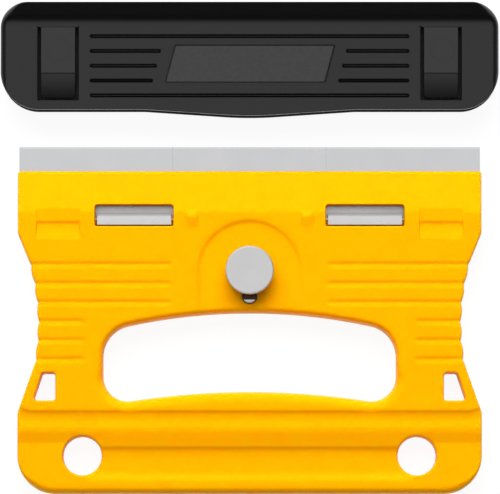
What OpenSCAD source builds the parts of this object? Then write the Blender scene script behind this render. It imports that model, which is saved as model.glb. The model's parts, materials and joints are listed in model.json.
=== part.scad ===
// Wide razor scraper: a one-piece handle, three blades held by a steel clamp plate,
// a thumb knob, and a push-on blade cover with two release tongues.
// The tool lies on its back. +X runs along the blades, +Y points past the cutting edge, +Z is the front.

/* [Blades] */
// Width of one blade along the cutting edge
blade_w = 40; // [38:0.5:44]
// Height of a blade from its back edge to its cutting edge
blade_h = 14.8; // [14:0.1:15.4]
// Thickness of a blade
blade_t = 0.3; // [0.2:0.05:0.5]
// How far the cutting edge stands out of the head
blade_reach = 6.4; // [5:0.1:7]
// Width of the ground bevel along the cutting edge
grind_w = 1; // [0.5:0.1:2]
// Thickness left at the cutting edge
edge_t = 0.06; // [0.04:0.02:0.1]
// Gap between neighbouring blades
blade_gap = 0.05; // [0.05:0.05:0.4]
// Play above and below a blade in its seat
blade_play = 0.02; // [0.01:0.01:0.05]
// Play between a blade's back edge and its stop
stop_play = 0.05; // [0.02:0.01:0.2]

/* [Handle] */
// Height of the handle from its bottom edge to the edge of the head
handle_h = 84.1; // [83:0.1:86]
// Thickness of the handle from the flat back to the flat front face
handle_t = 9.5; // [9:0.1:11]
// Margin of the head beyond the blade row, at each end
head_margin = 0.4; // [0.2:0.05:1.5]
// Radius of the bottom corners
bottom_corner_r = 10; // [6:0.5:11]
// Radius of the corners of the head
head_corner_r = 0.8; // [0.3:0.1:1.5]
// Height of the bottom bar's straight sides
bar_side_h = 21.2; // [20.5:0.1:22.5]
// Height at which the shoulders of the head begin
shoulder_h = 67.9; // [67:0.1:69]
// Depth of the waist on each side, at its narrowest
waist_in = 5.2; // [4:0.1:5.6]
// Height of the narrowest place of the waist
waist_h = 44; // [42:0.5:46]
// Radius of the waist's curve
waist_r = 58; // [50:1:80]

/* [Head relief] */
// Length of the bevel that thins the head towards the blades
bevel_len = 10.3; // [9.5:0.1:11]
// How much lower the front is at the edge of the head
bevel_drop = 3.5; // [2.5:0.1:4]
// Depth of the arched recess round the knob
arch_depth = 0.6; // [0.4:0.1:1.6]
// Radius of the arched recess
arch_r = 13.5; // [12.5:0.1:14]
// Height of the centre of the arched recess
arch_h = 57.6; // [57:0.1:58.2]
// Distance of the rest bumps from the middle
bump_x = 15; // [14.6:0.1:16]
// Width of a rest bump
bump_w = 3; // [2:0.1:3.4]
// Length of a rest bump
bump_l = 4.2; // [3:0.1:5]
// Height of a rest bump above the face
bump_z = 0.3; // [0.1:0.05:0.35]
// Depth of a rest bump's root below the face
bump_root = 0.5; // [0.3:0.1:1]
// How far the arched recess runs on into the finger opening
arch_run = 3; // [2:0.5:5]

/* [Finger opening] */
// Width of the handle's sides beside the opening, measured from the full width
side_w = 22.35; // [21.5:0.05:26]
// Height of the top of the opening at the middle
opening_top = 47.1; // [46.5:0.1:47.4]
// Height of the bottom of the opening at the middle
opening_bottom = 26.5; // [25:0.1:28]
// Radius of the arched top of the opening
opening_top_r = 148; // [130:1:200]
// Radius of the bowed bottom of the opening
opening_bottom_r = 200; // [160:5:300]
// Radius of the upper corners of the opening
opening_upper_r = 8.3; // [6:0.1:9]
// Radius of the lower corners of the opening
opening_lower_r = 6.5; // [4:0.1:7]

/* [Grip] */
// Number of grip grooves on each side
groove_count = 6; // [4:1:6]
// Number of the lower grooves, which stop short of the opening
short_groove_count = 3; // [2:1:4]
// Height of the lowest grip groove
groove_first = 35.5; // [35:0.1:36]
// Spacing of the grip grooves
groove_pitch = 4.94; // [4.5:0.02:5]
// Depth of a grip groove
groove_d = 0.4; // [0.3:0.1:1.2]
// Width of a grip groove's steep upper wall
groove_wall = 0.8; // [0.3:0.1:1]
// Width of a grip groove's shallow lower wall
groove_slope = 1.2; // [0.8:0.1:2]
// Depth of the notch that a groove makes in the side
notch_d = 0.45; // [0.2:0.05:0.7]
// Radius of that notch
notch_r = 1.4; // [1:0.1:2]
// Distance of the long grooves' ends from the arched recess
long_groove_end = 6.7; // [4:0.1:10]
// Distance of the short grooves' ends from the finger opening
short_groove_end = 4.7; // [3:0.1:7]
// Length of the grip above its highest groove
grip_above = 0.6; // [0.4:0.1:2]
// Length of the grip below its lowest groove
grip_below = 1.5; // [1.4:0.1:2]

/* [Bottom bar] */
// Height of the step across the bar
step_h = 21.9; // [21.4:0.1:22.2]
// Depth of the step
step_d = 0.7; // [0.4:0.1:1.2]
// How far the step's wall leans
step_run = 0.55; // [0.3:0.05:0.8]
// Height of the crest of the bead
bead_h = 17.6; // [17:0.1:18.5]
// Depth of the bead's crest below the face
bead_d = 0.4; // [0.2:0.1:0.6]
// Half width of the bead's flat crest
bead_half = 0.7; // [0.3:0.1:1]
// Height at which the slope below the bead ends
slope_h = 13.4; // [13:0.1:14]
// Depth of the bar's flat below the face
flat_d = 1.4; // [1:0.1:1.8]
// Depth of the channel between the hanging holes, below the face
channel_d = 2.3; // [1.9:0.1:2.6]
// Height of the lower edge of the channel
channel_low = 5.6; // [4.5:0.1:6]
// How far the channel's lower wall leans
channel_run = 1.8; // [0.6:0.1:2.4]
// Height of the upper edge of the channel
channel_high = 12.2; // [11:0.1:12.8]
// Distance of the channel's ends from the hanging holes
channel_end = 0.6; // [0.3:0.1:2]
// Diameter of a hanging hole
hang_d = 10; // [6:0.5:11]
// Distance of the hanging holes' centres from the handle's sides
hang_in = 16.95; // [15:0.05:20]
// Height of the hanging holes
hang_h = 9.85; // [9:0.05:11]
// Height of the lower edge of the lanyard holes
lanyard_low = 24.3; // [23.6:0.1:25]
// Length of the lanyard holes
lanyard_l = 7; // [5:0.1:7.4]
// Distance of the lanyard holes' straight edge from the handle's sides
lanyard_in = 9.85; // [9.4:0.05:11]
// Wall left outside the lanyard holes
lanyard_wall = 3.2; // [2.8:0.1:3.5]
// Radius of the lanyard holes' corners
lanyard_r = 0.7; // [0.3:0.1:1]

/* [Cored back] */
// Wall left in front of the cored cells
core_skin = 2.5; // [2:0.1:3.5]
// Thickness of the ribs between the cells
rib_t = 1.6; // [1:0.1:2.5]
// Number of cells in the bottom bar
bar_cells = 6; // [6:1:8]
// Height of the lower edge of the bar's cells
bar_cell_low = 5; // [4:0.1:6]
// Length of the bar's cells
bar_cell_l = 12; // [8:0.1:12.4]
// Number of cells in each side
side_cells = 3; // [2:1:4]
// Number of cells over each half of the opening
top_cells = 2; // [2:1:3]
// Wall round the groups of cells
core_wall = 3.4; // [2.5:0.1:4]

/* [Clamp] */
// Thickness of the clamp plate
plate_t = 1; // [0.8:0.05:1.2]
// Play between the clamp plate and the handle
plate_play = 0.02; // [0.01:0.01:0.1]
// Distance of the plate's ends from the ends of the head
plate_end = 2.45; // [2.2:0.05:4]
// Distance of the plate's front edge from the edge of the head
plate_inset = 0.9; // [0.3:0.1:2]
// Side clearance round the plate in its pocket
plate_clear = 0.5; // [0.3:0.05:0.7]
// Metal left below the holes that the hooks are bent out of
tab_margin = 1.4; // [1:0.1:1.8]
// Width of the plate's stem
stem_w = 26; // [20:0.5:28]
// Width of a window in the head
window_w = 20.3; // [16:0.1:22]
// Height of a window
window_h = 5.5; // [5.3:0.1:5.7]
// Distance of a window from the end of the head
window_in = 20.25; // [19.5:0.05:22]
// Wall between a window and the back edge of the blades
window_wall = 0.55; // [0.4:0.05:0.6]
// Clearance round a hook in its window
hook_clear = 0.3; // [0.2:0.05:0.4]
// Length of a hook's lip
lip_l = 2.9; // [2.2:0.1:3]
// Depth of the lip's face below the front face
lip_d = 1.5; // [1:0.1:2]
// Outer radius of the hook's bend
hook_r = 1.2; // [1.05:0.05:1.4]
// Clearance between a dropped lip and its ledge
ledge_clear = 0.05; // [0.02:0.01:0.2]
// Travel of the plate off its blades as the knob is loosened
plate_drop = 2.1; // [1.4:0.1:2.1]
// Travel of the plate along the slot as it is unhooked
unhook = 2; // [1.8:0.1:2.1]

/* [Knob] */
// Height of the screw's axis above the centre of the arched recess
screw_rise = 0.3; // [0.2:0.1:0.8]
// Radius of the knob
knob_r = 6.3; // [5.6:0.1:6.4]
// Height of the knob
knob_h = 5; // [4:0.1:7]
// Width of the chamfer round the knob's face
knob_chamfer = 0.5; // [0.2:0.1:0.8]
// Number of knurls round the knob
knurl_count = 44; // [30:1:60]
// Depth of a knurl
knurl_d = 0.25; // [0.1:0.05:0.4]
// Step from the knurls' roots in to the face
knurl_step = 0.1; // [0.05:0.05:0.3]
// Radius of the stud
stud_r = 2; // [1.5:0.1:2]
// Play between the stud and what it turns or sits in
stud_play = 0.05; // [0.02:0.01:0.1]
// Depth of the stud's end inside the back of the plate
stud_sunk = 0.2; // [0.1:0.1:0.5]
// Length of the stud inside the knob
stud_grip = 3.2; // [2:0.1:3.8]
// Outer radius of the washer
washer_r = 5.5; // [4:0.1:5.9]
// Thickness of the washer
washer_t = 0.6; // [0.4:0.1:1]
// Radius of the threaded bush
bush_r = 3.5; // [3:0.1:3.8]
// Length of the threaded bush above the plate
bush_l = 2.8; // [2:0.1:3]
// Radius of the bush's neck in the plate
bush_neck_r = 2.7; // [2.4:0.05:2.9]
// Radius of the guide pin
pin_r = 1.95; // [1.5:0.05:2]
// Distance of the guide pin below the screw's axis
pin_offset = 6.5; // [6.4:0.1:6.9]
// Depth of the guide pin's end below the floor of the arched recess
pin_sunk = 0.3; // [0.1:0.1:1]
// Chamfer round the guide pin's end
pin_chamfer = 0.4; // [0.2:0.1:0.8]
// Radius of the guide pin's rivet neck
pin_neck_r = 1.4; // [1:0.1:1.5]
// Clearance of pin and stud in the slot, on each side
slot_clear = 0.15; // [0.1:0.05:0.3]
// Clearance above the threaded bush in its pocket
bush_clear = 0.4; // [0.3:0.05:0.6]

/* [Cover] */
// Wall of the cover at its front and back
cover_wall = 1.8; // [1.4:0.1:2.4]
// Clearance between the cover and the head, front and back
cover_fit = 0.4; // [0.35:0.05:0.8]
// Wall at the cover's sides
cover_side = 2.2; // [1.6:0.1:3]
// Clearance between the cover's sides and the head
cover_side_fit = 2.15; // [0.5:0.05:3]
// Wall at the cover's closed end
cover_end = 2.4; // [1.8:0.1:3]
// Height of the cover at its ends
cover_h = 28.5; // [28:0.1:30]
// Extra height of the cover's mouth at the middle
cover_bulge = 1.8; // [0.5:0.1:2]
// Half width of the bulge in the cover's mouth
bulge_w = 27.3; // [20:0.1:35]
// Radius of the cover's upper corners
cover_upper_r = 7; // [5:0.5:9]
// Radius of the cover's lower corners
cover_lower_r = 10; // [6:0.5:11]
// Length of the sloped nose along the closed end
nose_l = 4.9; // [3:0.1:5.5]
// How far the nose slopes back at the closed end
nose_drop = 4; // [3:0.1:6]
// Chamfer along the back of the closed end
cover_chamfer = 1; // [0.5:0.1:2]
// How much nearer the front the cavity's nose begins
nose_wall_d = 0.6; // [0.2:0.1:1.2]
// How much nearer the mouth the cavity's nose ends
nose_wall_l = 0.8; // [0.4:0.1:1.4]
// Radius of the mouth at the middle of its bulge
bulge_r = 100; // [50:10:200]
// How far the thin part of the head runs on beyond the cover
head_step_clear = 1.2; // [0.5:0.1:2]
// Gap between the cutting edges and the cover, as they lie
cover_gap = 7.3; // [4:0.1:15]
// Clearance between the cutting edges and the closed end with the cover on
edge_clear = 2.2; // [2:0.1:2.4]
// Distance of the first rib groove from the closed end
rib_groove_first = 9.2; // [8.5:0.1:9.6]
// Spacing of the rib grooves
rib_groove_pitch = 3.86; // [3.5:0.02:3.9]
// Number of rib grooves
rib_groove_count = 5; // [3:1:5]
// Distance of the rib grooves' ends from the tongues' windows
rib_groove_end = 3.2; // [2:0.1:6]
// Half distance between the short rib grooves of the left and the right, at the middle groove
bare_x = 24.3; // [15:0.1:30]
// Width of a rib groove's steep lower wall
rib_wall = 0.6; // [0.4:0.1:1]
// Width of a rib groove's shallow upper wall
rib_slope = 0.7; // [0.6:0.1:1.6]
// Depth of a rib groove
rib_groove_d = 0.5; // [0.2:0.1:0.8]
// How far the ends of the short rib grooves shift from one groove to the next
panel_lean = 1.02; // [0:0.02:1.5]
// Distance of the bare panel from the ends of the short rib grooves
panel_gap = 3.6; // [2:0.1:6]
// Distance of the bare panel from the closed end
panel_top = 11.6; // [11.4:0.1:12.4]
// Height of the bare panel
panel_h = 9.6; // [6:0.1:10]
// How far the bare panel stands out of the face
panel_z = 0.15; // [0.1:0.05:0.3]

/* [Release tongues] */
// Distance of a tongue's middle from the end of the head
tongue_in = 10.65; // [9:0.05:12]
// Width of a tongue
tongue_w = 9; // [7:0.1:9.6]
// Slit on each side of a tongue
tongue_slit = 0.8; // [0.4:0.1:0.8]
// Distance of a tongue's root from the closed end
tongue_root = 7.8; // [7:0.1:8.2]
// Length of the pad of a tongue
pad_l = 11.1; // [9:0.1:12]
// Distance of the catch face from the inside of the closed end
catch_l = 22.2; // [22:0.1:22.5]
// Length of the catch beyond its face
nib_l = 0.8; // [0.5:0.1:1]
// Depth of the catch below the front face
nib_d = 0.6; // [0.5:0.1:0.8]
// Width of the flat end of the catch
nib_flat = 0.3; // [0.2:0.1:0.4]
// Chamfer below the flat end of the catch
nib_chamfer = 0.5; // [0.3:0.1:0.6]
// Thickness of the tongue's tip above the cavity
tip_t = 0.3; // [0.2:0.1:0.8]
// Step from the pad down to the slope
pad_step = 0.7; // [0.3:0.1:1]
// Play of the catch behind its step
catch_play = 0.2; // [0.1:0.05:0.3]
// Gap round a tongue's root and tip
tongue_gap = 0.1; // [0.06:0.02:0.2]
// Gap beyond a tongue's tip
tip_gap = 0.4; // [0.3:0.1:0.6]
// Depth of the lead-in below the face at the catch's step
lead_d = 0.3; // [0.1:0.05:0.4]
// Depth of the catch's pocket below the face
pocket_d = 0.9; // [0.9:0.1:1.5]
// Length of the catch's pocket
pocket_l = 4.2; // [2:0.1:4.6]
// How far the pocket's lower wall leans
pocket_run = 1.6; // [0.4:0.1:2]
// Extra width of the pocket, on each side of the tongue
pocket_side = 1.2; // [0.5:0.1:1.5]

/* [Hidden] */
$fn = 64;

// Overshoot of a cutter past the face that it opens
over = 1;
// Degrees between the points of an outline's arcs
arc_step = 7.5;
// Steps along one side of the waist, and along half of the opening's top or bottom
waist_steps = 10;
bow_steps = 5;

// The blade row, and the head that carries it
blade_count = 3;
blade_pitch = blade_w + blade_gap;
half_w = (blade_count * blade_pitch - blade_gap) / 2 + head_margin;
edge_h = handle_h + blade_reach;
blade_back = edge_h - blade_h;
opening_half = half_w - side_w;
hang_x = half_w - hang_in;
tongue_x = half_w - tongue_in;
rib_groove_x = tongue_x - tongue_w / 2 - tongue_slit - rib_groove_end;
blade_stop = blade_back - stop_play;

// Levels of the clamp stack above the resting plane
plate_z = cover_wall + cover_fit;
plate_top = plate_z + plate_t;
land_z = plate_top + plate_play;
blade_z = plate_top + blade_play;
seat_z = blade_z + blade_t + blade_play;
arch_z = handle_t - arch_depth;
washer_z = arch_z + plate_play;
knob_z = washer_z + washer_t + plate_play;

// Windows and hooks
window_top = blade_stop - window_wall;
window_low = window_top - window_h;
lip_end = window_low + hook_clear;
web_top = lip_end + lip_l;
lip_top = handle_t - lip_d;
ledge_z = lip_top - plate_t - plate_drop - ledge_clear;
ledge_top = web_top - plate_t - hook_clear;
hook_w = window_w - 2 * hook_clear;
window_x = half_w - window_in - window_w / 2;
// The holes that the hooks are bent out of, as long as web and lip together
tab_low = web_top - plate_t - (lip_top - plate_top + lip_l);
plate_low = tab_low - tab_margin;

// Screw, slot and pin
screw_h = arch_h + screw_rise;
pin_h = screw_h - pin_offset;
slot_r = max(stud_r, pin_r) + slot_clear;
slot_low = pin_h;
slot_high = screw_h + unhook;
stem_low = pin_h - pin_r - plate_inset;
pocket_low = stem_low - plate_clear;

// The cover as it lies beyond the blades
cover_mouth = edge_h + cover_gap;
cover_low = cover_mouth + cover_bulge;
cover_top = cover_low + cover_h;
cover_inside = cover_top - cover_end;
cover_half = half_w + cover_side_fit + cover_side;
cavity_half = half_w + cover_side_fit;
cavity_top = handle_t + cover_fit;
cover_t = cavity_top + cover_wall;
tongue_mid = cavity_top + cover_wall / 2;
root_h = cover_top - tongue_root;
catch_face = cover_inside - catch_l;
tongue_tip = catch_face - nib_l;
window_end = tongue_tip - tip_gap;

// The catch's step on the head, where the cover's catch comes to lie
catch_h = edge_h + edge_clear - catch_l + catch_play;
// The head is thinner at the back wherever the cover goes over it
cover_on_mouth = edge_h + edge_clear - (cover_inside - cover_mouth);
head_step = cover_on_mouth - head_step_clear;

// The origin lies under the middle of the whole row
mid_h = cover_top / 2;

// Curves and rounded outlines
function unit(v) = v / norm(v);
function turn(from, to) = let (d = to - from) d > 180 ? d - 360 : d < -180 ? d + 360 : d;
function arc(c, r, from, to) =
    let (n = max(2, ceil(abs(to - from) / arc_step)))
    [for (i = [0:n]) c + r * [cos(from + (to - from) * i / n), sin(from + (to - from) * i / n)]];
function fillet(a, p, b, r) =
    r == 0 ? [p] :
    let (
        to_a = unit(a - p),
        to_b = unit(b - p),
        half = acos(to_a * to_b) / 2,
        c = p + unit(to_a + to_b) * r / sin(half),
        from_v = p + to_a * r / tan(half) - c,
        to_v = p + to_b * r / tan(half) - c,
        start = atan2(from_v[1], from_v[0])
    )
    arc(c, r, start, start + turn(start, atan2(to_v[1], to_v[0])));
function rounded(corners) =
    let (n = len(corners), at = [for (c = corners) [c[0], c[1]]])
    [for (i = [0:n - 1]) each fillet(at[(i + n - 1) % n], at[i], at[(i + 1) % n], corners[i][2])];
function reversed(points) = [for (i = [len(points) - 1:-1:0]) points[i]];
function both_sides(right) = concat(right, [for (p = reversed(right)) [-p[0], p[1]]]);

// Side of the grip, as a height's distance from the middle
function waist(h) = half_w - waist_in + pow(h - waist_h, 2) / (2 * waist_r);
// Height at which the grip passes into the shoulder
grip_top = groove_first + (groove_count - 1) * groove_pitch + grip_above;
grip_low = groove_first - grip_below;

function handle_outline() =
    let (
        rise = (grip_top - grip_low) / waist_steps,
        sides = [for (i = [0:waist_steps]) let (h = grip_low + rise * i) [waist(h), h]],
        foot = [half_w - bottom_corner_r, bottom_corner_r],
        head = [half_w - head_corner_r, handle_h - head_corner_r]
    )
    both_sides(concat(
        arc(foot, bottom_corner_r, -90, 0), [[half_w, bar_side_h]], sides, [[half_w, shoulder_h]],
        arc(head, head_corner_r, 0, 90)
    ));

// Direction of one step along a shallow bow that turns by the given angle
function bow(angle, i) = [sin(angle * i / bow_steps), cos(angle * i / bow_steps)];
function finger_outline() =
    let (
        top_c = [0, opening_top - opening_top_r],
        low_c = [0, opening_bottom - opening_bottom_r],
        up_x = opening_half - opening_upper_r,
        up = [up_x, top_c[1] + sqrt(pow(opening_top_r - opening_upper_r, 2) - up_x * up_x)],
        down_x = opening_half - opening_lower_r,
        down = [down_x, low_c[1] + sqrt(pow(opening_bottom_r + opening_lower_r, 2) - down_x * down_x)],
        up_a = atan2(up_x, up[1] - top_c[1]),
        down_a = atan2(down_x, down[1] - low_c[1])
    )
    both_sides(concat(
        [for (i = [0:bow_steps]) low_c + opening_bottom_r * bow(down_a, i)],
        arc(down, opening_lower_r, -90 - down_a, 0),
        arc(up, opening_upper_r, 0, 90 - up_a),
        [for (i = [bow_steps - 1:-1:0]) top_c + opening_top_r * bow(up_a, i)]
    ));

function cover_outline() =
    rounded([
        [cover_half, cover_top, cover_upper_r],
        [-cover_half, cover_top, cover_upper_r],
        [-cover_half, cover_low, cover_lower_r],
        [-bulge_w, cover_low, 0],
        [0, cover_mouth, bulge_r],
        [bulge_w, cover_low, 0],
        [cover_half, cover_low, cover_lower_r]
    ]);

// Placing helpers: heights are measured from the handle's bottom edge
module placed() { translate([0, -mid_h, 0]) children(); }
module each_side() { children(); mirror([1, 0, 0]) children(); }
// A profile in height and depth, run along X about the middle
module along_x(length) {
    translate([-length / 2, 0, 0]) rotate([90, 0, 90]) linear_extrude(length) children();
}
module block(x0, x1, h0, h1, z0, z1) { translate([x0, h0, z0]) cube([x1 - x0, h1 - h0, z1 - z0]); }
// A straight slot with round ends from height h0 to h1
module slot(r, h0, h1, z0, z1) {
    block(-r, r, h0, h1, z0, z1);
    for (h = [h0, h1]) translate([0, h, z0]) cylinder(r = r, h = z1 - z0);
}

// Relief of the handle's front face
module bevel_cut() {
    slope = bevel_drop / bevel_len;
    along_x(2 * half_w + 2 * over) polygon([
        [handle_h - bevel_len - over, handle_t + slope * over],
        [handle_h + over, handle_t - slope * (bevel_len + over)], [handle_h + over, handle_t + over]
    ]);
}

module bar_relief() {
    along_x(2 * half_w + 2 * over) polygon([
        [step_h + step_run * over / step_d, handle_t + over], [step_h - step_run, handle_t - step_d],
        [bead_h + bead_half, handle_t - bead_d], [bead_h - bead_half, handle_t - bead_d],
        [slope_h, handle_t - flat_d], [-over, handle_t - flat_d], [-over, handle_t + over]
    ]);
    wall = channel_d - flat_d;
    along_x(2 * hang_x - hang_d - 2 * channel_end) polygon([
        [channel_low, handle_t - channel_d], [channel_high, handle_t - channel_d],
        [channel_high + 2 * (slope_h - channel_high), handle_t - channel_d + 2 * wall],
        [channel_low - 2 * channel_run, handle_t - channel_d + 2 * wall]
    ]);
}

module arch_recess() {
    translate([0, arch_h, arch_z]) cylinder(r = arch_r, h = arch_depth + over);
    block(-arch_r, arch_r, opening_top - arch_run, arch_h, arch_z, handle_t + over);
}

module grip_grooves() {
    grow = 1 + over / groove_d;
    for (i = [0:groove_count - 1]) {
        h = groove_first + i * groove_pitch;
        inner = i < short_groove_count ? opening_half + short_groove_end : arch_r + long_groove_end;
        each_side() {
            translate([inner + half_w / 2, h, handle_t]) along_x(half_w)
                polygon([[0, -groove_d], [grow * groove_wall, over], [-grow * groove_slope, over]]);
            translate([waist(h) + notch_r - notch_d, h, -over])
                cylinder(r = notch_r, h = handle_t + 2 * over);
        }
    }
}

module catch_pocket() {
    width = tongue_w + 2 * pocket_side;
    low = catch_h - pocket_l;
    translate([tongue_x, 0, handle_t]) along_x(width) polygon([
        [handle_h + over, -lead_d], [catch_h, -lead_d], [catch_h, -pocket_d],
        [low + pocket_run, -pocket_d], [low - pocket_run * over / pocket_d, over],
        [handle_h + over, over]
    ]);
}

module rest_bump() {
    translate([bump_x, window_low + window_h / 2 - bump_l / 4, 0]) along_x(bump_w) polygon([
        [-bump_l / 2, handle_t - bump_root], [bump_l / 2, handle_t - bump_root],
        [bump_l / 4, handle_t + bump_z], [-bump_l / 4, handle_t + bump_z]
    ]);
}

// Openings through the handle
module head_window() {
    translate([window_x, 0, 0]) {
        block(-window_w / 2, window_w / 2, window_low, window_top, ledge_z, handle_t + over);
        block(-window_w / 2, window_w / 2, ledge_top, window_top, 0, ledge_z + over);
    }
}

module lanyard_hole() {
    top = lanyard_low + lanyard_l;
    inner = half_w - lanyard_in;
    slant = (half_w - waist(grip_low)) / (grip_low - bar_side_h);
    edge_low = half_w - slant * (lanyard_low - bar_side_h) - lanyard_wall;
    edge_top = half_w - slant * (top - bar_side_h) - lanyard_wall;
    translate([0, 0, -over]) linear_extrude(handle_t + 2 * over) polygon(rounded([
        [inner, lanyard_low, lanyard_r], [edge_low, lanyard_low, lanyard_r],
        [edge_top, top, lanyard_r], [inner, top, lanyard_r]
    ]));
}

module hanging_hole() {
    translate([hang_x, hang_h, -over]) cylinder(d = hang_d, h = handle_t + 2 * over);
}

// Back of the handle: step under the cover, pocket for the plate, seat for the blades
module back_pockets() {
    plate_half = half_w - plate_end + plate_clear;
    block(-half_w - over, half_w + over, head_step, handle_h + over, -over, plate_z);
    block(-plate_half, plate_half, plate_low - plate_clear, handle_h + over, -over, land_z);
    block(-half_w - over, half_w + over, blade_stop, handle_h + over, -over, seat_z);
    block(-stem_w / 2 - plate_clear, stem_w / 2 + plate_clear, pocket_low, plate_low, -over, land_z);
    slot(bush_r + slot_clear, screw_h, slot_high, 0, plate_top + bush_l + bush_clear);
    slot(slot_r, slot_low, slot_high, 0, handle_t);
}

// One row of cored cells between two places on X
module cell_row(x0, x1, count, h0, h1, top_z) {
    pitch = (x1 - x0 + rib_t) / count;
    for (i = [0:count - 1]) block(x0 + i * pitch, x0 + (i + 1) * pitch - rib_t, h0, h1, -over, top_z);
}

module cored_back() {
    bar_half = hang_x - hang_d / 2 - core_wall;
    cell_row(-bar_half, bar_half, bar_cells, bar_cell_low, bar_cell_low + bar_cell_l,
        handle_t - channel_d - core_skin);
    side_top = plate_low - plate_clear - core_wall;
    side_low = lanyard_low + lanyard_l + core_wall;
    side_pitch = (side_top - side_low + rib_t) / side_cells;
    grip_z = handle_t - groove_d - core_skin;
    each_side() {
        for (i = [0:side_cells - 1]) {
            h = side_low + i * side_pitch;
            block(opening_half + core_wall, half_w - waist_in - core_wall, h, h + side_pitch - rib_t,
                -over, grip_z);
        }
        cell_row(stem_w / 2 + plate_clear + core_wall, opening_half + core_wall - rib_t, top_cells,
            opening_top + core_wall, side_top, grip_z);
    }
}

module handle() {
    color("gold") placed() {
        difference() {
            linear_extrude(handle_t) polygon(handle_outline());
            translate([0, 0, -over]) linear_extrude(handle_t + 2 * over) polygon(finger_outline());
            bevel_cut();
            bar_relief();
            arch_recess();
            grip_grooves();
            back_pockets();
            cored_back();
            each_side() {
                catch_pocket();
                head_window();
                lanyard_hole();
                hanging_hole();
            }
        }
        each_side() rest_bump();
    }
}

// One hook of the plate: a web through the window and a lip bent down over the ledge
module hook() {
    inner_r = hook_r - plate_t;
    bend = [web_top - hook_r, lip_top - hook_r];
    translate([window_x, 0, 0]) along_x(hook_w) polygon(concat(
        [[web_top - plate_t, plate_z], [web_top, plate_z]],
        arc(bend, hook_r, 0, 90),
        [[lip_end, lip_top], [lip_end, lip_top - plate_t]],
        arc(bend, inner_r, 90, 0)
    ));
}

module clamp_plate() {
    plate_half = half_w - plate_end;
    color("silver") placed() {
        difference() {
            union() {
                block(-plate_half, plate_half, plate_low, handle_h - plate_inset, plate_z, plate_top);
                block(-stem_w / 2, stem_w / 2, stem_low, plate_low + over, plate_z, plate_top);
            }
            each_side() translate([window_x, 0, 0]) block(
                -window_w / 2, window_w / 2, tab_low, web_top - plate_t, plate_z - over, plate_top + over
            );
            translate([0, screw_h, plate_z - over])
                cylinder(r = bush_neck_r + plate_play, h = plate_t + 2 * over);
            translate([0, pin_h, plate_z - over])
                cylinder(r = pin_neck_r + plate_play, h = plate_t + 2 * over);
        }
        each_side() hook();
    }
}

module clamp_bush() {
    color("darkgray") placed() translate([0, screw_h, 0]) difference() {
        union() {
            translate([0, 0, plate_z]) cylinder(r = bush_neck_r, h = plate_t + plate_play);
            translate([0, 0, land_z]) cylinder(r = bush_r, h = bush_l);
        }
        translate([0, 0, plate_z - over]) cylinder(r = stud_r + stud_play, h = plate_t + bush_l + 3 * over);
    }
}

module guide_pin() {
    shank = arch_z - land_z - pin_sunk - pin_chamfer;
    color("gainsboro") placed() translate([0, pin_h, 0]) {
        translate([0, 0, plate_z]) cylinder(r = pin_neck_r, h = plate_t + plate_play);
        translate([0, 0, land_z]) cylinder(r = pin_r, h = shank);
        translate([0, 0, land_z + shank]) cylinder(r1 = pin_r, r2 = pin_r - pin_chamfer, h = pin_chamfer);
    }
}

// One blade, with its cutting edge ground from both faces
module blade(place) {
    mid_z = blade_z + blade_t / 2;
    color("lightsteelblue") placed() translate([place * blade_pitch, 0, 0]) along_x(blade_w) polygon([
        [blade_back, blade_z], [edge_h - grind_w, blade_z], [edge_h, mid_z - edge_t / 2],
        [edge_h, mid_z + edge_t / 2], [edge_h - grind_w, blade_z + blade_t], [blade_back, blade_z + blade_t]
    ]);
}

module knob_washer() {
    color("darkgray") placed() translate([0, screw_h, washer_z]) difference() {
        cylinder(r = washer_r, h = washer_t);
        translate([0, 0, -over]) cylinder(r = stud_r + slot_clear, h = washer_t + 2 * over);
    }
}

module thumb_knob() {
    knurl_h = knob_h - knob_chamfer;
    face_r = knob_r - knurl_d - knurl_step;
    teeth = [
        for (i = [0:2 * knurl_count - 1])
        let (r = knob_r - (i % 2) * knurl_d, a = 180 * i / knurl_count)
        [r * cos(a), r * sin(a)]
    ];
    color("silver") placed() translate([0, screw_h, knob_z]) difference() {
        union() {
            linear_extrude(knurl_h) polygon(teeth);
            translate([0, 0, knurl_h]) cylinder(r1 = face_r, r2 = face_r - knob_chamfer, h = knob_chamfer);
        }
        translate([0, 0, -over]) cylinder(r = stud_r + plate_play, h = stud_grip + over);
    }
}

module knob_stud() {
    foot = plate_z + stud_sunk;
    color("darkgray") placed() translate([0, screw_h, foot])
        cylinder(r = stud_r, h = knob_z + stud_grip - plate_play - foot);
}

// Section of the cover, in height and depth
function cover_section() = [
    [cover_mouth - over, 0], [cover_top - cover_chamfer, 0], [cover_top, cover_chamfer],
    [cover_top, cover_t - nose_drop], [cover_top - nose_l, cover_t], [cover_mouth - over, cover_t]
];
function cavity_section() = [
    [cover_mouth - over, cover_wall], [cover_inside, cover_wall],
    [cover_inside, cover_t - nose_drop - nose_wall_d],
    [cover_top - nose_l - nose_wall_l, cavity_top], [cover_mouth - over, cavity_top]
];

module cover_cavity() {
    intersection() {
        along_x(2 * cavity_half) polygon(cavity_section());
        translate([0, 0, -over]) linear_extrude(cover_t + 2 * over) polygon(rounded([
            [cavity_half, cover_inside, cover_upper_r - cover_side],
            [-cavity_half, cover_inside, cover_upper_r - cover_side],
            [-cavity_half, cover_mouth - over, 0], [cavity_half, cover_mouth - over, 0]
        ]));
    }
}

function rib_h(i) = cover_top - rib_groove_first - i * rib_groove_pitch;
// Shift along X of the leaning panel's ends at a height
function lean(h) = (h - rib_h((rib_groove_count - 1) / 2)) * panel_lean / rib_groove_pitch;

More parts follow.
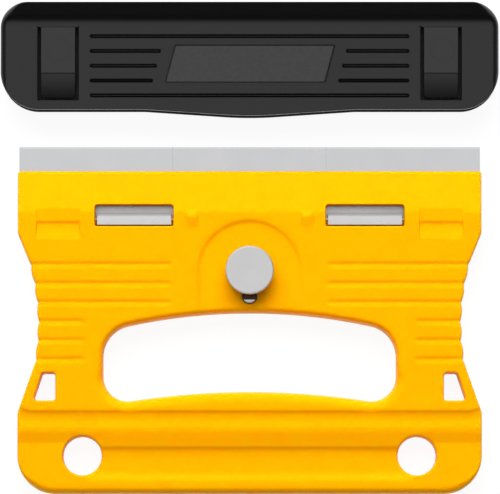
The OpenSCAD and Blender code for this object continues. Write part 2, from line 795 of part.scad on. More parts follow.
module rib_groove(x0, x1, h) {
    deep = h + rib_wall / 2;
    grow = 1 + over / rib_groove_d;
    translate([(x0 + x1) / 2, 0, cover_t]) along_x(x1 - x0) polygon([
        [deep, -rib_groove_d], [deep + grow * rib_slope, over], [deep - grow * rib_wall, over]
    ]);
}

module rib_grooves() {
    rib_groove(-rib_groove_x, rib_groove_x, rib_h(0));
    rib_groove(-rib_groove_x, rib_groove_x, rib_h(rib_groove_count - 1));
    for (i = [1:rib_groove_count - 2]) {
        rib_groove(-rib_groove_x, lean(rib_h(i)) - bare_x, rib_h(i));
        rib_groove(lean(rib_h(i)) + bare_x, rib_groove_x, rib_h(i));
    }
}

module bare_panel() {
    half = bare_x - panel_gap;
    top = cover_top - panel_top;
    low = top - panel_h;
    translate([0, 0, cover_t - cover_wall / 2]) linear_extrude(cover_wall / 2 + panel_z) polygon([
        [lean(low) - half, low], [lean(low) + half, low], [lean(top) + half, top], [lean(top) - half, top]
    ]);
}

module tongue_window() {
    half = tongue_w / 2 + tongue_slit;
    translate([tongue_x, 0, 0]) {
        block(-half, half, window_end, root_h, cavity_top - over, cover_t + over);
        translate([-half, root_h, tongue_mid]) rotate([0, 90, 0])
            cylinder(r = cover_wall / 2 + tongue_gap, h = 2 * half);
    }
}

module blade_cover() {
    color("dimgray") placed() {
        difference() {
            intersection() {
                linear_extrude(cover_t) polygon(cover_outline());
                along_x(2 * cover_half + 2 * over) polygon(cover_section());
            }
            cover_cavity();
            rib_grooves();
            each_side() tongue_window();
        }
        bare_panel();
    }
}

// One release tongue: a pad on a round root, then a slope down to the catch
module release_tongue() {
    pad_end = root_h - pad_l;
    nib_z = handle_t - nib_d;
    translate([tongue_x, 0, 0]) {
        along_x(tongue_w) polygon([
            [root_h, cavity_top], [catch_face, cavity_top], [catch_face, nib_z],
            [catch_face - nib_flat, nib_z], [tongue_tip, nib_z + nib_chamfer],
            [tongue_tip, cavity_top + tip_t], [pad_end, cover_t - pad_step], [pad_end, cover_t],
            [root_h, cover_t]
        ]);
        translate([-tongue_w / 2, root_h, tongue_mid]) rotate([0, 90, 0])
            cylinder(r = cover_wall / 2, h = tongue_w);
    }
}

module release_tongue_left() { color("slategray") placed() mirror([1, 0, 0]) release_tongue(); }
module release_tongue_right() { color("slategray") placed() release_tongue(); }

handle();
clamp_plate();
clamp_bush();
guide_pin();
blade(-1);  // blade_left
blade(0);  // blade_middle
blade(1);  // blade_right
knob_washer();
thumb_knob();
knob_stud();
blade_cover();
release_tongue_left();
release_tongue_right();
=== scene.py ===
"""Looks of the wide razor scraper: moulded handle and blade cover, turned knob, rolled and ground steel.

Lengths are millimetres until a mesh is made. A height h runs from the handle's bottom edge
towards the blades and the cover, x runs along the blades and z out of the front face.
Names of sizes end in _R for a radius, _D for a depth, _W for a width, _T for a thickness, _H for
a height, _X for a place along x and _Z for a level.
"""
import json
import math
from collections import namedtuple

import bpy
import numpy as np
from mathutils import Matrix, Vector
from mathutils.geometry import delaunay_2d_cdt
from mathutils.kdtree import KDTree


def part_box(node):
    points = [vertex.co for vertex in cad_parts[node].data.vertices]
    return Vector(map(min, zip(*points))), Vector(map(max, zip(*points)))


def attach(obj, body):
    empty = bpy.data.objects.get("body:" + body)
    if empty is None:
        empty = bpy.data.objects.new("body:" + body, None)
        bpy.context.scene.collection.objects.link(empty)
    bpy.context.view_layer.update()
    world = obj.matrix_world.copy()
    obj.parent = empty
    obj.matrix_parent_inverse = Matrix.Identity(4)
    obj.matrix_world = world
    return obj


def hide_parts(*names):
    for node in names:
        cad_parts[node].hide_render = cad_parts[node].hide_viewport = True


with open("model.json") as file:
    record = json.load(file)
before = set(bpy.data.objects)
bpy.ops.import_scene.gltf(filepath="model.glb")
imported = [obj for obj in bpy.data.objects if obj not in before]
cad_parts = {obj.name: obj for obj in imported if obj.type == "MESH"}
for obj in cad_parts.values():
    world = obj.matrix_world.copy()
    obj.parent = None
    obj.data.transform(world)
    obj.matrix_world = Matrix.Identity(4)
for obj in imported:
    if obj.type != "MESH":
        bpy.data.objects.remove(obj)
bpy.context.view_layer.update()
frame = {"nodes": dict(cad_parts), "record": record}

MM = 0.001
BASE_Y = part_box("handle")[0].y / MM


def corners(node):
    """Lowest and highest corner of a node in millimetres, with heights from the handle's bottom edge."""
    base = Vector((0, BASE_Y, 0))
    low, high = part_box(node)
    return low / MM - base, high / MM - base


# Handle in plan
HALF_W, HANDLE_H = corners("handle")[1].xy
BOTTOM_R = 10
BAR_SIDE_H = 21.2
BAR_SIDE_R = 3
SHOULDER_H = 67.9
SHOULDER_R = 3
HEAD_R = 0.8
WAIST_IN = 5.2
WAIST_H = 44
WAIST_R = 58
GRIP_LOW = 34
GRIP_TOP = 60.8
NOTCH_D = 0.45
OPENING_HALF = HALF_W - 22.35
OPENING_TOP = 47.1
OPENING_TOP_R = 148
OPENING_UPPER_R = 8.3
OPENING_LOW = 26.5
OPENING_LOW_R = 200
OPENING_LOWER_R = 6.5
HANG_X = HALF_W - 16.95
HANG_H = 9.85
HANG_R = 5
LANYARD_LOW = 24.3
LANYARD_TOP = 31.3
LANYARD_X = HALF_W - 9.85
LANYARD_WALL = 3.2
LANYARD_R = 0.7

# Rounded edges of the handle: rounder at its bottom, and on the bar in the finger opening
SIDE_EDGE_R = 0.5
BOTTOM_EDGE_R = 1.7
BOTTOM_EDGE_H = (6, 1.5)
FINGER_EDGE_R = 1.3
BAR_EDGE_R = 2.4
BAR_EDGE_H = (33, 29)

# Relief of the handle's face
HANDLE_T = 9.5
BEVEL_LEN = 10.8
BEVEL_DROP = 3.5
BEVEL_SOFT = 1.2
ARCH_R = 13.5
ARCH_H = 57.6
ARCH_DEPTH = 0.68
ARCH_WALL = (0.45, -0.85)
ARCH_WALL_SHARE = 0.65
ARCH_FADE = (1.7, -1.9)
ARCH_FOOT = (OPENING_TOP - 5, OPENING_TOP - 4)
ARCH_ROW = 0.18
GROOVE_FIRST = 34.9
GROOVE_PITCH = 4.94
GROOVE_COUNT = 6
SHORT_GROOVES = 3
GROOVE_D = 0.34
GROOVE_WALL = 0.8
GROOVE_SLOPE = 1.2
GROOVE_SOFT = 0.3
GROOVE_END = (-0.6, 1.2)
LONG_GROOVE_X = ARCH_R + 6.7
SHORT_GROOVE_X = OPENING_HALF + 4.7
STEP_H = 21.5
STEP_CURL = 0.9
CURL_X = 56.8
BEAD_H = 17.2
SLOPE_TOP = 16.1
SLOPE_END = 13.2
FLAT_D = 1.5
MARGIN_D = 1.9
MARGIN_X = (26, 42)
MARGIN_H = (7, 3.2)
BAR_SOFT = 0.27
CHANNEL_D = 2.64
CHANNEL_X = HANG_X - 1
CHANNEL_END = 0.4
GUSSET_X = (39.6, 44.2)
GUSSET_W = 0.7
GUSSET_RISE = 0.12
GUSSET_FOOT = (BEAD_H + 0.6, BEAD_H + 2)
GUSSET_TOP = (STEP_H, STEP_H - 0.7)
BUMP_X = 15
BUMP_HALF = 1.6
BUMP_LOW = 69.2
BUMP_CREST = 72
BUMP_TOP = 73.9
BUMP_Z = 0.66
BUMP_SOFT = 0.45
BUMP_SIDE = (BUMP_HALF + 0.2, BUMP_HALF - 0.5)

# Levels that the handle's leaning walls start from
WALL_FOOT = 4.6
WINDOW_FOOT = 8

# Clamp, windows and pockets of the head
WINDOW_X = HALF_W - 30.4
WINDOW_HALF = 10.15
WINDOW_LOW = 69.6
WINDOW_TOP = 75.1
WINDOW_UPPER_R = 0.7
WINDOW_LOWER_R = 0.3
LEDGE_Z = 4.85
LEDGE_TOP = 71.5
TONGUE_X = HALF_W - 10.65
TONGUE_HALF = 4.5
POCKET_HALF = TONGUE_HALF + 1.2
POCKET_LOW = 66.1
POCKET_D = 0.7
POCKET_SOFT = 0.22
POCKET_SIDE = (POCKET_HALF + 0.15, POCKET_HALF - 0.25)
CATCH_H = 70.7
LEAD_D = 0.3
PLATE_LOW = 62.7
PLATE_CLEAR = 0.5
PLATE_HALF = HALF_W - 2.45 + PLATE_CLEAR
PLATE_STEM = 13
STEM_HALF = PLATE_STEM + PLATE_CLEAR
STEM_LOW = 48.05
PLATE_Z = 2.2
LAND_Z = 3.22
SEAT_Z = 3.54
BLADE_STOP = 75.65
HEAD_STEP = 63.6
SCREW_H = 57.9
SLOT_LOW = 51.4
SLOT_TOP = 59.9
SLOT_R = 2.1
BUSH_SLOT_R = 3.65
BUSH_TOP = 6.4

# Clamp plate
PLATE_T = 1
PLATE_CORNER = 1
STEM_R = 2
STEM_ROOT_R = 0.6
TAB_LOW = 64.1
WEB_TOP = 72.8
LIP_END = 70
# Height on the hooks' lips above which painted shade runs towards the bends
LIP_SHADE_H = 72.2
LIP_TOP = 8
HOOK_R = 0.2
PLATE_BEVEL = 0.12
HOOK_HALF = WINDOW_HALF - 0.42
BUSH_NECK_R = 2.72
PIN_H = 51.4
PIN_NECK_R = 1.42
PIN_FLAT = 50.4
PIN_CUT = 4.4
PIN_BEVEL = 0.15
# Level on the guide pin up to which painted shade reaches
PIN_SHADE_TOP = corners("guide_pin")[1].z - 0.6

# Blades
BLADES = ("blade_left", "blade_middle", "blade_right")
GRIND_W = 0.5
EDGE_T = 0.06
BLADE_BEVEL = 0.025
BLADE_RUN = 0.08
GRIND_CREASE = math.radians(5)

# Cored back
CORE_SKIN = 2.5
CORE_WALL = 3.4
RIB_T = 1.6
BAR_CELLS = 6
BAR_CELL_LOW = 5
BAR_CELL_TOP = 17
SIDE_CELLS = 3
TOP_CELLS = 2

# Cover
COVER_HALF, COVER_TOP = corners("blade_cover")[1].xy
COVER_MOUTH = corners("blade_cover")[0].y
PANEL_Z = 0.15
COVER_T = corners("blade_cover")[1].z - PANEL_Z
COVER_LOW = COVER_MOUTH + 1.8
COVER_UPPER_R = 7
COVER_LOWER_R = 10
BULGE_W = 27.3
BULGE_R = 100
COVER_WALL = 1.8
COVER_SIDE = 2.2
CAVITY_TOP = COVER_T - COVER_WALL
COVER_INSIDE = COVER_TOP - 2.4
NOSE_L = 4.9
NOSE_INSIDE = 4.6
NOSE_SOFT = 2.2
NOSE_SLOPE = 0.6
NOSE_WALL = 0.8
NOSE_INSIDE_SOFT = 0.6
RIB_GROOVE_X = TONGUE_X - TONGUE_HALF - 4
RIB_GROOVE_FIRST = 9.2
RIB_GROOVE_PITCH = 3.86
RIB_GROOVE_COUNT = 5
RIB_GROOVE_D = 0.6
RIB_FLOOR = 0.1
RIB_WALL = 0.34
RIB_SOFT = 0.16
RIB_END = 0.25
BARE_X = 24.3
PANEL_LEAN = 1.02 / RIB_GROOVE_PITCH
PANEL_HALF = BARE_X - 3.6
PANEL_TOP = COVER_TOP - 11.6
PANEL_LOW = PANEL_TOP - 9.6
PANEL_WALL = 0.15
BUMP_WAY = 0.5
BUMP_WAY_D = 0.4
BUMP_WAY_END = COVER_INSIDE - 4
COVER_EDGE_R = 0.16
COVER_SIDE_R = 1.56
COVER_SIDE_X = (COVER_HALF - 6, COVER_HALF - 2)
COVER_SIDE_H = (COVER_LOW + 4, COVER_LOW + 9)
COVER_BACK_R = 0.9

# Release tongues
SLIT = 0.8
ROOT_H = COVER_TOP - 7.8
ROOT_R = COVER_WALL / 2
ROOT_BACK_R = ROOT_R - 0.06
ROOT_END = ROOT_H + ROOT_R
ROOT_GAP = 0.1
ROOT_FADE = (ROOT_END - 0.1, ROOT_END - 0.5)
ROOT_TURN = (ROOT_H - 0.6, ROOT_H + 0.2)
PAD_END = ROOT_H - 11.1
PAD_STEP = 0.1
PAD_SOFT = 0.15
TONGUE_EDGE_R = 0.14
SLOPE_CURVE = 0.25
CATCH_FACE = 103.5
TONGUE_TIP = 102.7
TIP_Z = CAVITY_TOP + 0.2
WINDOW_END = 102.3
NIB_Z = 9
NIB_IN = 0.1
NIB_TIP_IN = 0.05
NIB_ROOT = 0.15
RING_H = (PAD_END + ROOT_H) / 2 + 0.4
RING_R = 3
RING_W = 0.4
RING_RISE = 0.05

# Knob
KNOB_LOW, KNOB_HIGH = corners("thumb_knob")
KNURL_COUNT = 44
KNURL_D = 0.28
KNURL_POWER = 0.8
KNOB_FOOT = 0.35
KNOB_SHOULDER = 0.3
KNOB_CREASE = math.radians(50)
TURNING_PITCH = 0.2
# Width and fade of the painted highlight round the knob's top rim
RIM_HIGHLIGHT_W = 0.5
RIM_HIGHLIGHT_FADE = 0.2

# How far a cutter reaches past what it opens, and a joined solid into the other
PAST = 1
JOIN = 0.1

# Point spacing along outlines and over plain faces, and the steps of a rounded edge in degrees
OUTLINE_STEP = 0.45
FACE_STEP = 0.8
EDGE_ANGLES = np.radians((18, 36, 54, 72, 90))
SHARP_ANGLE = math.radians(38)


def arc(centre, radius, start, end):
    """Points along an arc, between two angles in degrees."""
    count = max(4, math.ceil(abs(math.radians(end - start)) * radius / OUTLINE_STEP))
    angles = np.radians(np.linspace(start, end, count + 1))
    return np.column_stack((centre[0] + radius * np.cos(angles), centre[1] + radius * np.sin(angles)))


def unit(v):
    return v / np.linalg.norm(v)


def corner_arc(before, corner, after, radius):
    """The points that round one corner of an outline."""
    if radius == 0:
        return corner[None]
    to_before = unit(before - corner)
    to_after = unit(after - corner)
    half = math.acos(np.clip(to_before @ to_after, -1, 1)) / 2
    centre = corner + unit(to_before + to_after) * radius / math.sin(half)
    first = corner + to_before * radius / math.tan(half) - centre
    last = corner + to_after * radius / math.tan(half) - centre
    start = math.degrees(math.atan2(first[1], first[0]))
    swing = math.degrees(math.atan2(last[1], last[0])) - start
    return arc(centre, radius, start, start + (swing + 180) % 360 - 180)


def rounded(points):
    """A closed outline of corners (x, h, radius)."""
    places = np.array([p[:2] for p in points], float)
    radii = [p[2] for p in points]
    around = zip(np.roll(places, 1, 0), places, np.roll(places, -1, 0), radii)
    return np.vstack([corner_arc(*four) for four in around])


def stepped(outline):
    """A closed outline with its long stretches divided and its doubled points left out."""
    made = []
    for start, end in zip(outline, np.roll(outline, -1, 0)):
        length = np.linalg.norm(end - start)
        if length > 1e-6:
            count = math.ceil(length / OUTLINE_STEP)
            made.append(start + (end - start) * np.arange(count)[:, None] / count)
    return np.vstack(made)


def symmetric(right):
    """A closed outline of corners (x, h, radius) up its right side and of their twins down its left."""
    return stepped(rounded(right + [(-x, h, r) for x, h, r in reversed(right)]))


def mirrored(outline):
    """An outline's twin on the other side, turning the same way."""
    return (outline * (-1, 1))[::-1]


def twins(outline):
    """An outline on the right and its twin on the left."""
    return outline, mirrored(outline)


def rectangle(middle, half, low, top, low_r=0, top_r=0):
    """A rectangle of a half width, with its lower and upper corners rounded by radii."""
    left = middle - half
    right = middle + half
    return rounded([(left, low, low_r), (right, low, low_r), (right, top, top_r), (left, top, top_r)])


def capsule(radius, h0, h1):
    """A slot with round ends, upright at the middle."""
    return np.vstack((arc((0, h0), radius, 180, 360), arc((0, h1), radius, 0, 180)))


def distance(outline, points):
    """How far each point lies from a closely stepped outline."""
    tree = KDTree(len(outline))
    for number, (x, h) in enumerate(outline):
        tree.insert((x, h, 0), number)
    tree.balance()
    near = np.array([tree.find((x, h, 0))[1] for x, h in points.tolist()], int)
    gaps = []
    for start, end in ((near - 1, near), (near, (near + 1) % len(outline))):
        along = outline[end] - outline[start]
        gap = points - outline[start]
        share = np.clip((gap * along).sum(1) / (along * along).sum(1), 0, 1)
        gaps.append(np.linalg.norm(gap - share[:, None] * along, axis=1))
    return np.minimum(*gaps)


def within(outline, points):
    """Whether each point lies inside an outline."""
    inside = np.zeros(len(points), bool)
    maybe = np.flatnonzero(((points > outline.min(0)) & (points < outline.max(0))).all(1))
    x, h = points[maybe].T
    hit = np.zeros(len(maybe), bool)
    for (x0, h0), (x1, h1) in zip(outline, np.roll(outline, -1, 0)):
        if h0 != h1:
            hit ^= ((h0 > h) != (h1 > h)) & (x < x0 + (h - h0) * (x1 - x0) / (h1 - h0))
    inside[maybe] = hit
    return inside


def moved_in(outline, by):
    """An outline's points, each moved to the left of its way by its own distance."""
    ahead = np.roll(outline, -1, 0) - outline
    behind = outline - np.roll(outline, 1, 0)
    way = ahead / np.linalg.norm(ahead, axis=1)[:, None] + behind / np.linalg.norm(behind, axis=1)[:, None]
    way /= np.linalg.norm(way, axis=1)[:, None]
    return outline + np.column_stack((-way[:, 1], way[:, 0])) * by[:, None]


def graded(start, stop, coarse, spans):
    """Places from start to stop in coarse steps, with finer ones in each span (low, high, step)."""
    places = [start]
    while places[-1] < stop:
        at = places[-1] + 1e-6
        step = min([coarse] + [fine for low, high, fine in spans if low <= at < high])
        ahead = [low for low, high, fine in spans if at < low < at + step]
        places.append(min(ahead + [places[-1] + step]))
    return np.array(places)


def around(place, before, after, step):
    """A span for graded steps round a place."""
    return place - before, place + after, step


def lattice(xs, hs):
    """Points (x, h) at every crossing of two rows of places."""
    return np.stack(np.meshgrid(xs, hs), -1).reshape(-1, 2)


def both_ways(places):
    """Places to the right of the middle, and the same to its left."""
    return np.concatenate((-places[:0:-1], places))


def ramp(value, start, end):
    """A smooth rise from 0 at start to 1 at end."""
    share = np.clip((value - start) / (end - start), 0, 1)
    return share * share * (3 - 2 * share)


def step_at(value, place, way):
    """A smooth step from 0 to 1 at a place, or back to 0 where the way is negative."""
    return ramp(value, place - way, place + way)


def soft_line(value, line, soft):
    """Height along a line of (place, height) points, averaged over a short way so that it bends softly."""
    places, heights = zip(*line)
    offsets = np.linspace(-1, 1, 9)[1:-1]
    weights = 1 - np.abs(offsets)
    made = sum(w * np.interp(value + o * soft, places, heights) for o, w in zip(offsets, weights))
    return made / weights.sum()


# One edge of a moulding: its outline runs with the material on its left, and its front and back are
# rounded by radii in millimetres. An edge that is not open is only dressed, and cut through later.
# Its wall leans in by a width from a foot level up to the rounded front.
Edge = namedtuple("Edge", "outline front back open lean foot", defaults=(True, 0.0, 0.0))


def hole_edges(outlines, **looks):
    """Edges of holes, whose outlines are turned to have the material on their left."""
    return [Edge(outline[::-1], **looks) for outline in outlines]


def round_drop(depth, radius):
    """How far a rounded edge lies below its face at a distance from the outline."""
    rest = np.clip(radius - depth, 0, radius)
    return radius - np.sqrt(np.maximum(radius * radius - rest * rest, 0))


def changing(first, second, span):
    """An edge's radius that goes from a first value to a second between two heights."""
    return lambda points: first + (second - first) * ramp(points[:, 1], *span)


def radius_at(edge, side, points):
    """The radius of an edge's front or back at each point, where it may change along the edge."""
    radius = getattr(edge, side)
    return radius(points) if callable(radius) else np.full(len(points), float(radius))


def lean_of(edge, side):
    """Width that a wall leans in by; a wall's back is upright."""
    return edge.lean if side == "front" else 0.0


def triangulated(edges, side, loose):
    """Triangles over a plan, with rows of points along its edges: (points, faces, ids of outline points)."""
    loops = [edge.outline for edge in edges]
    rows = []
    for edge in edges:
        lean = lean_of(edge, side)
        reach = radius_at(edge, side, edge.outline)
        angles = EDGE_ANGLES if reach.max() > 0 else []
        depths = [lean + reach * (1 - math.cos(angle)) for angle in angles]
        if lean:
            depths.append(np.full(len(reach), lean))
        for depth in depths:
            row = moved_in(edge.outline, depth)
            clear = np.min([distance(other, row) for other in loops], axis=0) > 0.96 * depth
            rows.append(row[clear])
    if len(loose):
        keep = within(loops[0], loose)
        for edge in edges:
            margin = lean_of(edge, side) + radius_at(edge, side, loose) + 0.3 * OUTLINE_STEP
            keep &= distance(edge.outline, loose) > margin
            if edge.open and edge is not edges[0]:
                keep &= ~within(edge.outline, loose)
        rows.append(loose[keep])
    points = np.vstack(loops + rows)
    lines = []
    first = 0
    for loop in loops:
        ids = np.arange(first, first + len(loop))
        lines += list(zip(ids.tolist(), np.roll(ids, -1).tolist()))
        first += len(loop)
    found = delaunay_2d_cdt([Vector(p) for p in points], lines, [], 0, 1e-7)
    places = np.array([tuple(p) for p in found[0]])
    faces = np.array([tuple(f) for f in found[2]])
    given = {source: number for number, sources in enumerate(found[3]) for source in sources}
    outline_ids = np.array([given[i] for i in range(first)])
    on_outline = np.zeros(len(places), bool)
    on_outline[outline_ids] = True
    doubtful = on_outline[faces].all(1)
    middles = places[faces[doubtful]].mean(1)
    good = within(loops[0], middles)
    for edge in edges[1:]:
        if edge.open:
            good &= ~within(edge.outline, middles)
    keep = np.ones(len(faces), bool)
    keep[doubtful] = good
    return places, faces[keep], outline_ids


def dressed(heights, edges, side, places):
    """A face's heights with its edges rounded and its walls leaning."""
    towards = -1 if side == "front" else 1
    made = heights.copy()
    shares = []
    for edge in edges:
        lean = lean_of(edge, side)
        radius = radius_at(edge, side, places)
        depth = distance(edge.outline, places)
        if not edge.open:
            depth[within(edge.outline[::-1], places)] = 0
        made += towards * round_drop(np.maximum(depth - lean, 0), radius)
        if lean:
            shares.append((np.clip(depth / lean, 0, 1), edge.foot))
    for share, foot in shares:
        made = foot + (made - foot) * share
    return made


def placed(name, data):
    """A new object in the scene."""
    made = bpy.data.objects.new(name, data)
    bpy.context.scene.collection.objects.link(made)
    return made


def new_piece(name, points, faces):
    """A mesh object from points in millimetres."""
    mesh = bpy.data.meshes.new(name)
    mesh.from_pydata([(x * MM, (h + BASE_Y) * MM, z * MM) for x, h, z in points], [], faces)
    mesh.update()
    return placed(name, mesh)


def moulded(name, edges, face, loose, back_z=0.0):
    """A closed moulding: a face of varying height over a plan, rounded edges and a flat back."""
    top, top_faces, top_ids = triangulated(edges, "front", loose)
    top_z = dressed(face(*top.T), edges, "front", top)
    walled = [edge for edge in edges if edge.open]
    low, low_faces, low_ids = triangulated(walled, "back", np.empty((0, 2)))
    low_z = dressed(np.full(len(low), back_z), walled, "back", low)
    points = np.vstack((np.column_stack((top, top_z)), np.column_stack((low, low_z))))
    faces = [tuple(f) for f in top_faces.tolist()]
    faces += [tuple(f[::-1]) for f in (low_faces + len(top)).tolist()]
    first = last_low = 0
    for edge in edges:
        count = len(edge.outline)
        if edge.open:
            upper = top_ids[first:first + count]
            lower = low_ids[last_low:last_low + count] + len(top)
            ring = zip(upper, lower, np.roll(lower, -1), np.roll(upper, -1))
            faces += [tuple(int(i) for i in four) for four in ring]
            last_low += count
        first += count
    return new_piece(name, points, faces)


def ring_faces(first, count):
    """Faces from one ring of points to the next."""
    pairs = [(first + i, first + (i + 1) % count) for i in range(count)]
    return [(i, j, j + count, i + count) for i, j in pairs]


def prisms(name, shapes):
    """Straight solids that do not touch one another, as one cutter: each is (outline, low z, high z)."""
    points = []
    faces = []
    for outline, low, high in shapes:
        first = len(points)
        count = len(outline)
        points += [(x, h, low) for x, h in outline] + [(x, h, high) for x, h in outline]
        faces.append(tuple(range(first + count - 1, first - 1, -1)))
        faces.append(tuple(range(first + count, first + 2 * count)))
        faces += ring_faces(first, count)
    return new_piece(name, points, faces)


def extruded(name, section, x0, x1, bevel, run):
    """A bar along x with a section in (h, z), its ends' edges broken by a bevel that runs a way along x."""
    inner = moved_in(section, np.full(len(section), bevel))
    rings = ((x0, inner), (x0 + run, section), (x1 - run, section), (x1, inner))
    count = len(section)
    points = [(x, h, z) for x, ring in rings for h, z in ring]
    faces = [tuple(range(count - 1, -1, -1)), tuple(range(3 * count, 4 * count))]
    for first in (0, count, 2 * count):
        faces += ring_faces(first, count)
    return new_piece(name, points, faces)


def combined(piece, others, operation="DIFFERENCE"):
    """The piece after each other solid is cut from it or joined to it, with the others gone."""
    for other in others:
        step = piece.modifiers.new(other.name, "BOOLEAN")
        step.operation = operation
        step.solver = "MANIFOLD"
        step.object = other
    unshaded_share = piece.evaluated_get(bpy.context.evaluated_depsgraph_get())
    mesh = bpy.data.meshes.new_from_object(unshaded_share)
    piece.modifiers.clear()
    piece.data = mesh
    for other in others:
        bpy.data.objects.remove(other)
    return piece


def smoothed(piece, angle=SHARP_ANGLE):
    """Smooth shading, with creases left where faces turn by more than an angle."""
    piece.data.shade_smooth()
    piece.data.set_sharp_from_angle(angle=angle)
    return piece


# Handle
groove_heights = GROOVE_FIRST + GROOVE_PITCH * np.arange(GROOVE_COUNT)


def plain_waist(h):
    """Half width of the grip at a height, without its scallops."""
    return HALF_W - WAIST_IN + (h - WAIST_H) ** 2 / (2 * WAIST_R)


def waist(h):
    """Half width of the grip, which swells out between each two grooves."""
    from_middle = (h - GROOVE_FIRST) / GROOVE_PITCH % 1 - 0.5
    return plain_waist(h) - NOTCH_D * (2 * from_middle) ** 2


def handle_outline():
    heights = np.union1d(np.linspace(GRIP_LOW, GRIP_TOP, 72), groove_heights)
    right = [(HALF_W, 0, BOTTOM_R), (HALF_W, BAR_SIDE_H, BAR_SIDE_R)]
    right += [(waist(h), h, 0) for h in heights]
    right += [(HALF_W, SHOULDER_H, SHOULDER_R), (HALF_W, HANDLE_H, HEAD_R)]
    return symmetric(right)


def finger_outline():
    top_c = OPENING_TOP - OPENING_TOP_R
    low_c = OPENING_LOW - OPENING_LOW_R
    up_x = OPENING_HALF - OPENING_UPPER_R
    up_h = top_c + math.sqrt((OPENING_TOP_R - OPENING_UPPER_R) ** 2 - up_x ** 2)
    down_x = OPENING_HALF - OPENING_LOWER_R
    down_h = low_c + math.sqrt((OPENING_LOW_R + OPENING_LOWER_R) ** 2 - down_x ** 2)
    up_angle = math.degrees(math.atan2(up_x, up_h - top_c))
    down_angle = math.degrees(math.atan2(down_x, down_h - low_c))
    right = np.vstack((
        arc((0, low_c), OPENING_LOW_R, 90, 90 - down_angle),
        arc((down_x, down_h), OPENING_LOWER_R, -90 - down_angle, 0),
        arc((up_x, up_h), OPENING_UPPER_R, 0, 90 - up_angle),
        arc((0, top_c), OPENING_TOP_R, 90 - up_angle, 90),
    ))
    return stepped(np.vstack(twins(right)))


def lanyard_outline():
    slant = (HALF_W - plain_waist(GRIP_LOW)) / (GRIP_LOW - BAR_SIDE_H)
    low_x = HALF_W - slant * (LANYARD_LOW - BAR_SIDE_H) - LANYARD_WALL
    top_x = HALF_W - slant * (LANYARD_TOP - BAR_SIDE_H) - LANYARD_WALL
    return stepped(rounded([
        (LANYARD_X, LANYARD_LOW, LANYARD_R), (low_x, LANYARD_LOW, LANYARD_R),
        (top_x, LANYARD_TOP, LANYARD_R), (LANYARD_X, LANYARD_TOP, LANYARD_R),
    ]))


def window_outline():
    shape = rectangle(WINDOW_X, WINDOW_HALF, WINDOW_LOW, WINDOW_TOP, WINDOW_LOWER_R, WINDOW_UPPER_R)
    return stepped(shape)


# Sections of the face's relief, as lines of points (place, level) that are bent softly
HEAD_LINE = ((0, 0), (HANDLE_H - BEVEL_LEN, 0), (HANDLE_H + BEVEL_LEN, -2 * BEVEL_DROP))
BEAD_LINE = (
    (SLOPE_TOP, -0.6), (BEAD_H, -0.52), (BEAD_H + 1.1, -0.7), (BEAD_H + 1.7, -0.8), (STEP_H - 1.7, -0.77),
    (STEP_H - 0.9, -0.61), (STEP_H - 0.4, -0.43), (STEP_H + 0.1, -0.06), (STEP_H + 0.7, 0), (HANDLE_H, 0),
)
END_LINE = ((0, -FLAT_D), (SLOPE_END, -FLAT_D)) + BEAD_LINE
CHANNEL_LINE = (
    (0, -MARGIN_D), (3.2, -MARGIN_D), (3.8, -2.02), (4.3, -2.22), (4.9, -2.48), (5.6, -2.6), (7, -CHANNEL_D),
    (8.4, -2.63), (9.6, -2.56), (10.7, -2.4), (11.5, -2.17), (12.3, -1.62), (12.8, -1.52),
) + BEAD_LINE
GROOVE_LINE = ((-GROOVE_SLOPE, 0), (0, -GROOVE_D), (GROOVE_WALL, 0))
POCKET_LINE = (
    (POCKET_LOW, 0), (POCKET_LOW + 0.7, -0.17), (POCKET_LOW + 1.5, -0.37), (POCKET_LOW + 2.3, -0.55),
    (POCKET_LOW + 3.1, -0.66), (CATCH_H - 0.7, -POCKET_D), (CATCH_H - 0.35, -0.62),
    (CATCH_H + 0.25, -LEAD_D), (HANDLE_H, -LEAD_D),
)
BUMP_LINE = ((BUMP_LOW, 0), (BUMP_CREST, BUMP_Z), (BUMP_TOP, 0))


def arch_distance(x, h):
    """Distance from the arched recess's outline, negative inside it."""
    return np.where(h > ARCH_H, np.hypot(x, h - ARCH_H), np.abs(x)) - ARCH_R


def handle_face(x, h):
    """Height of the handle's face, before its edges are rounded."""
    side = np.abs(x)
    z = HANDLE_T + soft_line(h, HEAD_LINE, BEVEL_SOFT)
    curl = STEP_CURL * ramp(side, CURL_X, HALF_W) * ramp(h, BEAD_H, STEP_H)
    at_end = step_at(side, CHANNEL_X, CHANNEL_END)
    lifted = (MARGIN_D - FLAT_D) * ramp(side, *MARGIN_X) * ramp(h, *MARGIN_H)
    channel = soft_line(h - curl, CHANNEL_LINE, BAR_SOFT) + lifted
    z += channel * (1 - at_end) + soft_line(h - curl, END_LINE, BAR_SOFT) * at_end
    for at in GUSSET_X:
        across = np.exp(-((side - at) / GUSSET_W) ** 2)
        z += GUSSET_RISE * across * ramp(h, *GUSSET_FOOT) * ramp(h, *GUSSET_TOP)
    from_arch = arch_distance(x, h)
    arch = ARCH_WALL_SHARE * ramp(from_arch, *ARCH_WALL)
    arch += (1 - ARCH_WALL_SHARE) * ramp(from_arch, *ARCH_FADE)
    z -= ARCH_DEPTH * arch * ramp(h, *ARCH_FOOT)
    for number, at in enumerate(groove_heights):
        start = SHORT_GROOVE_X if number < SHORT_GROOVES else LONG_GROOVE_X
        along = ramp(side, start + GROOVE_END[0], start + GROOVE_END[1])
        z += soft_line(h - at, GROOVE_LINE, GROOVE_SOFT) * along
    across = ramp(np.abs(side - TONGUE_X), *POCKET_SIDE)
    sunk = HANDLE_T + soft_line(h, POCKET_LINE, POCKET_SOFT)
    z = np.where(across > 0, z + np.minimum(sunk - z, 0) * across, z)
    across = ramp(np.abs(side - BUMP_X), *BUMP_SIDE)
    return z + soft_line(h, BUMP_LINE, BUMP_SOFT) * across


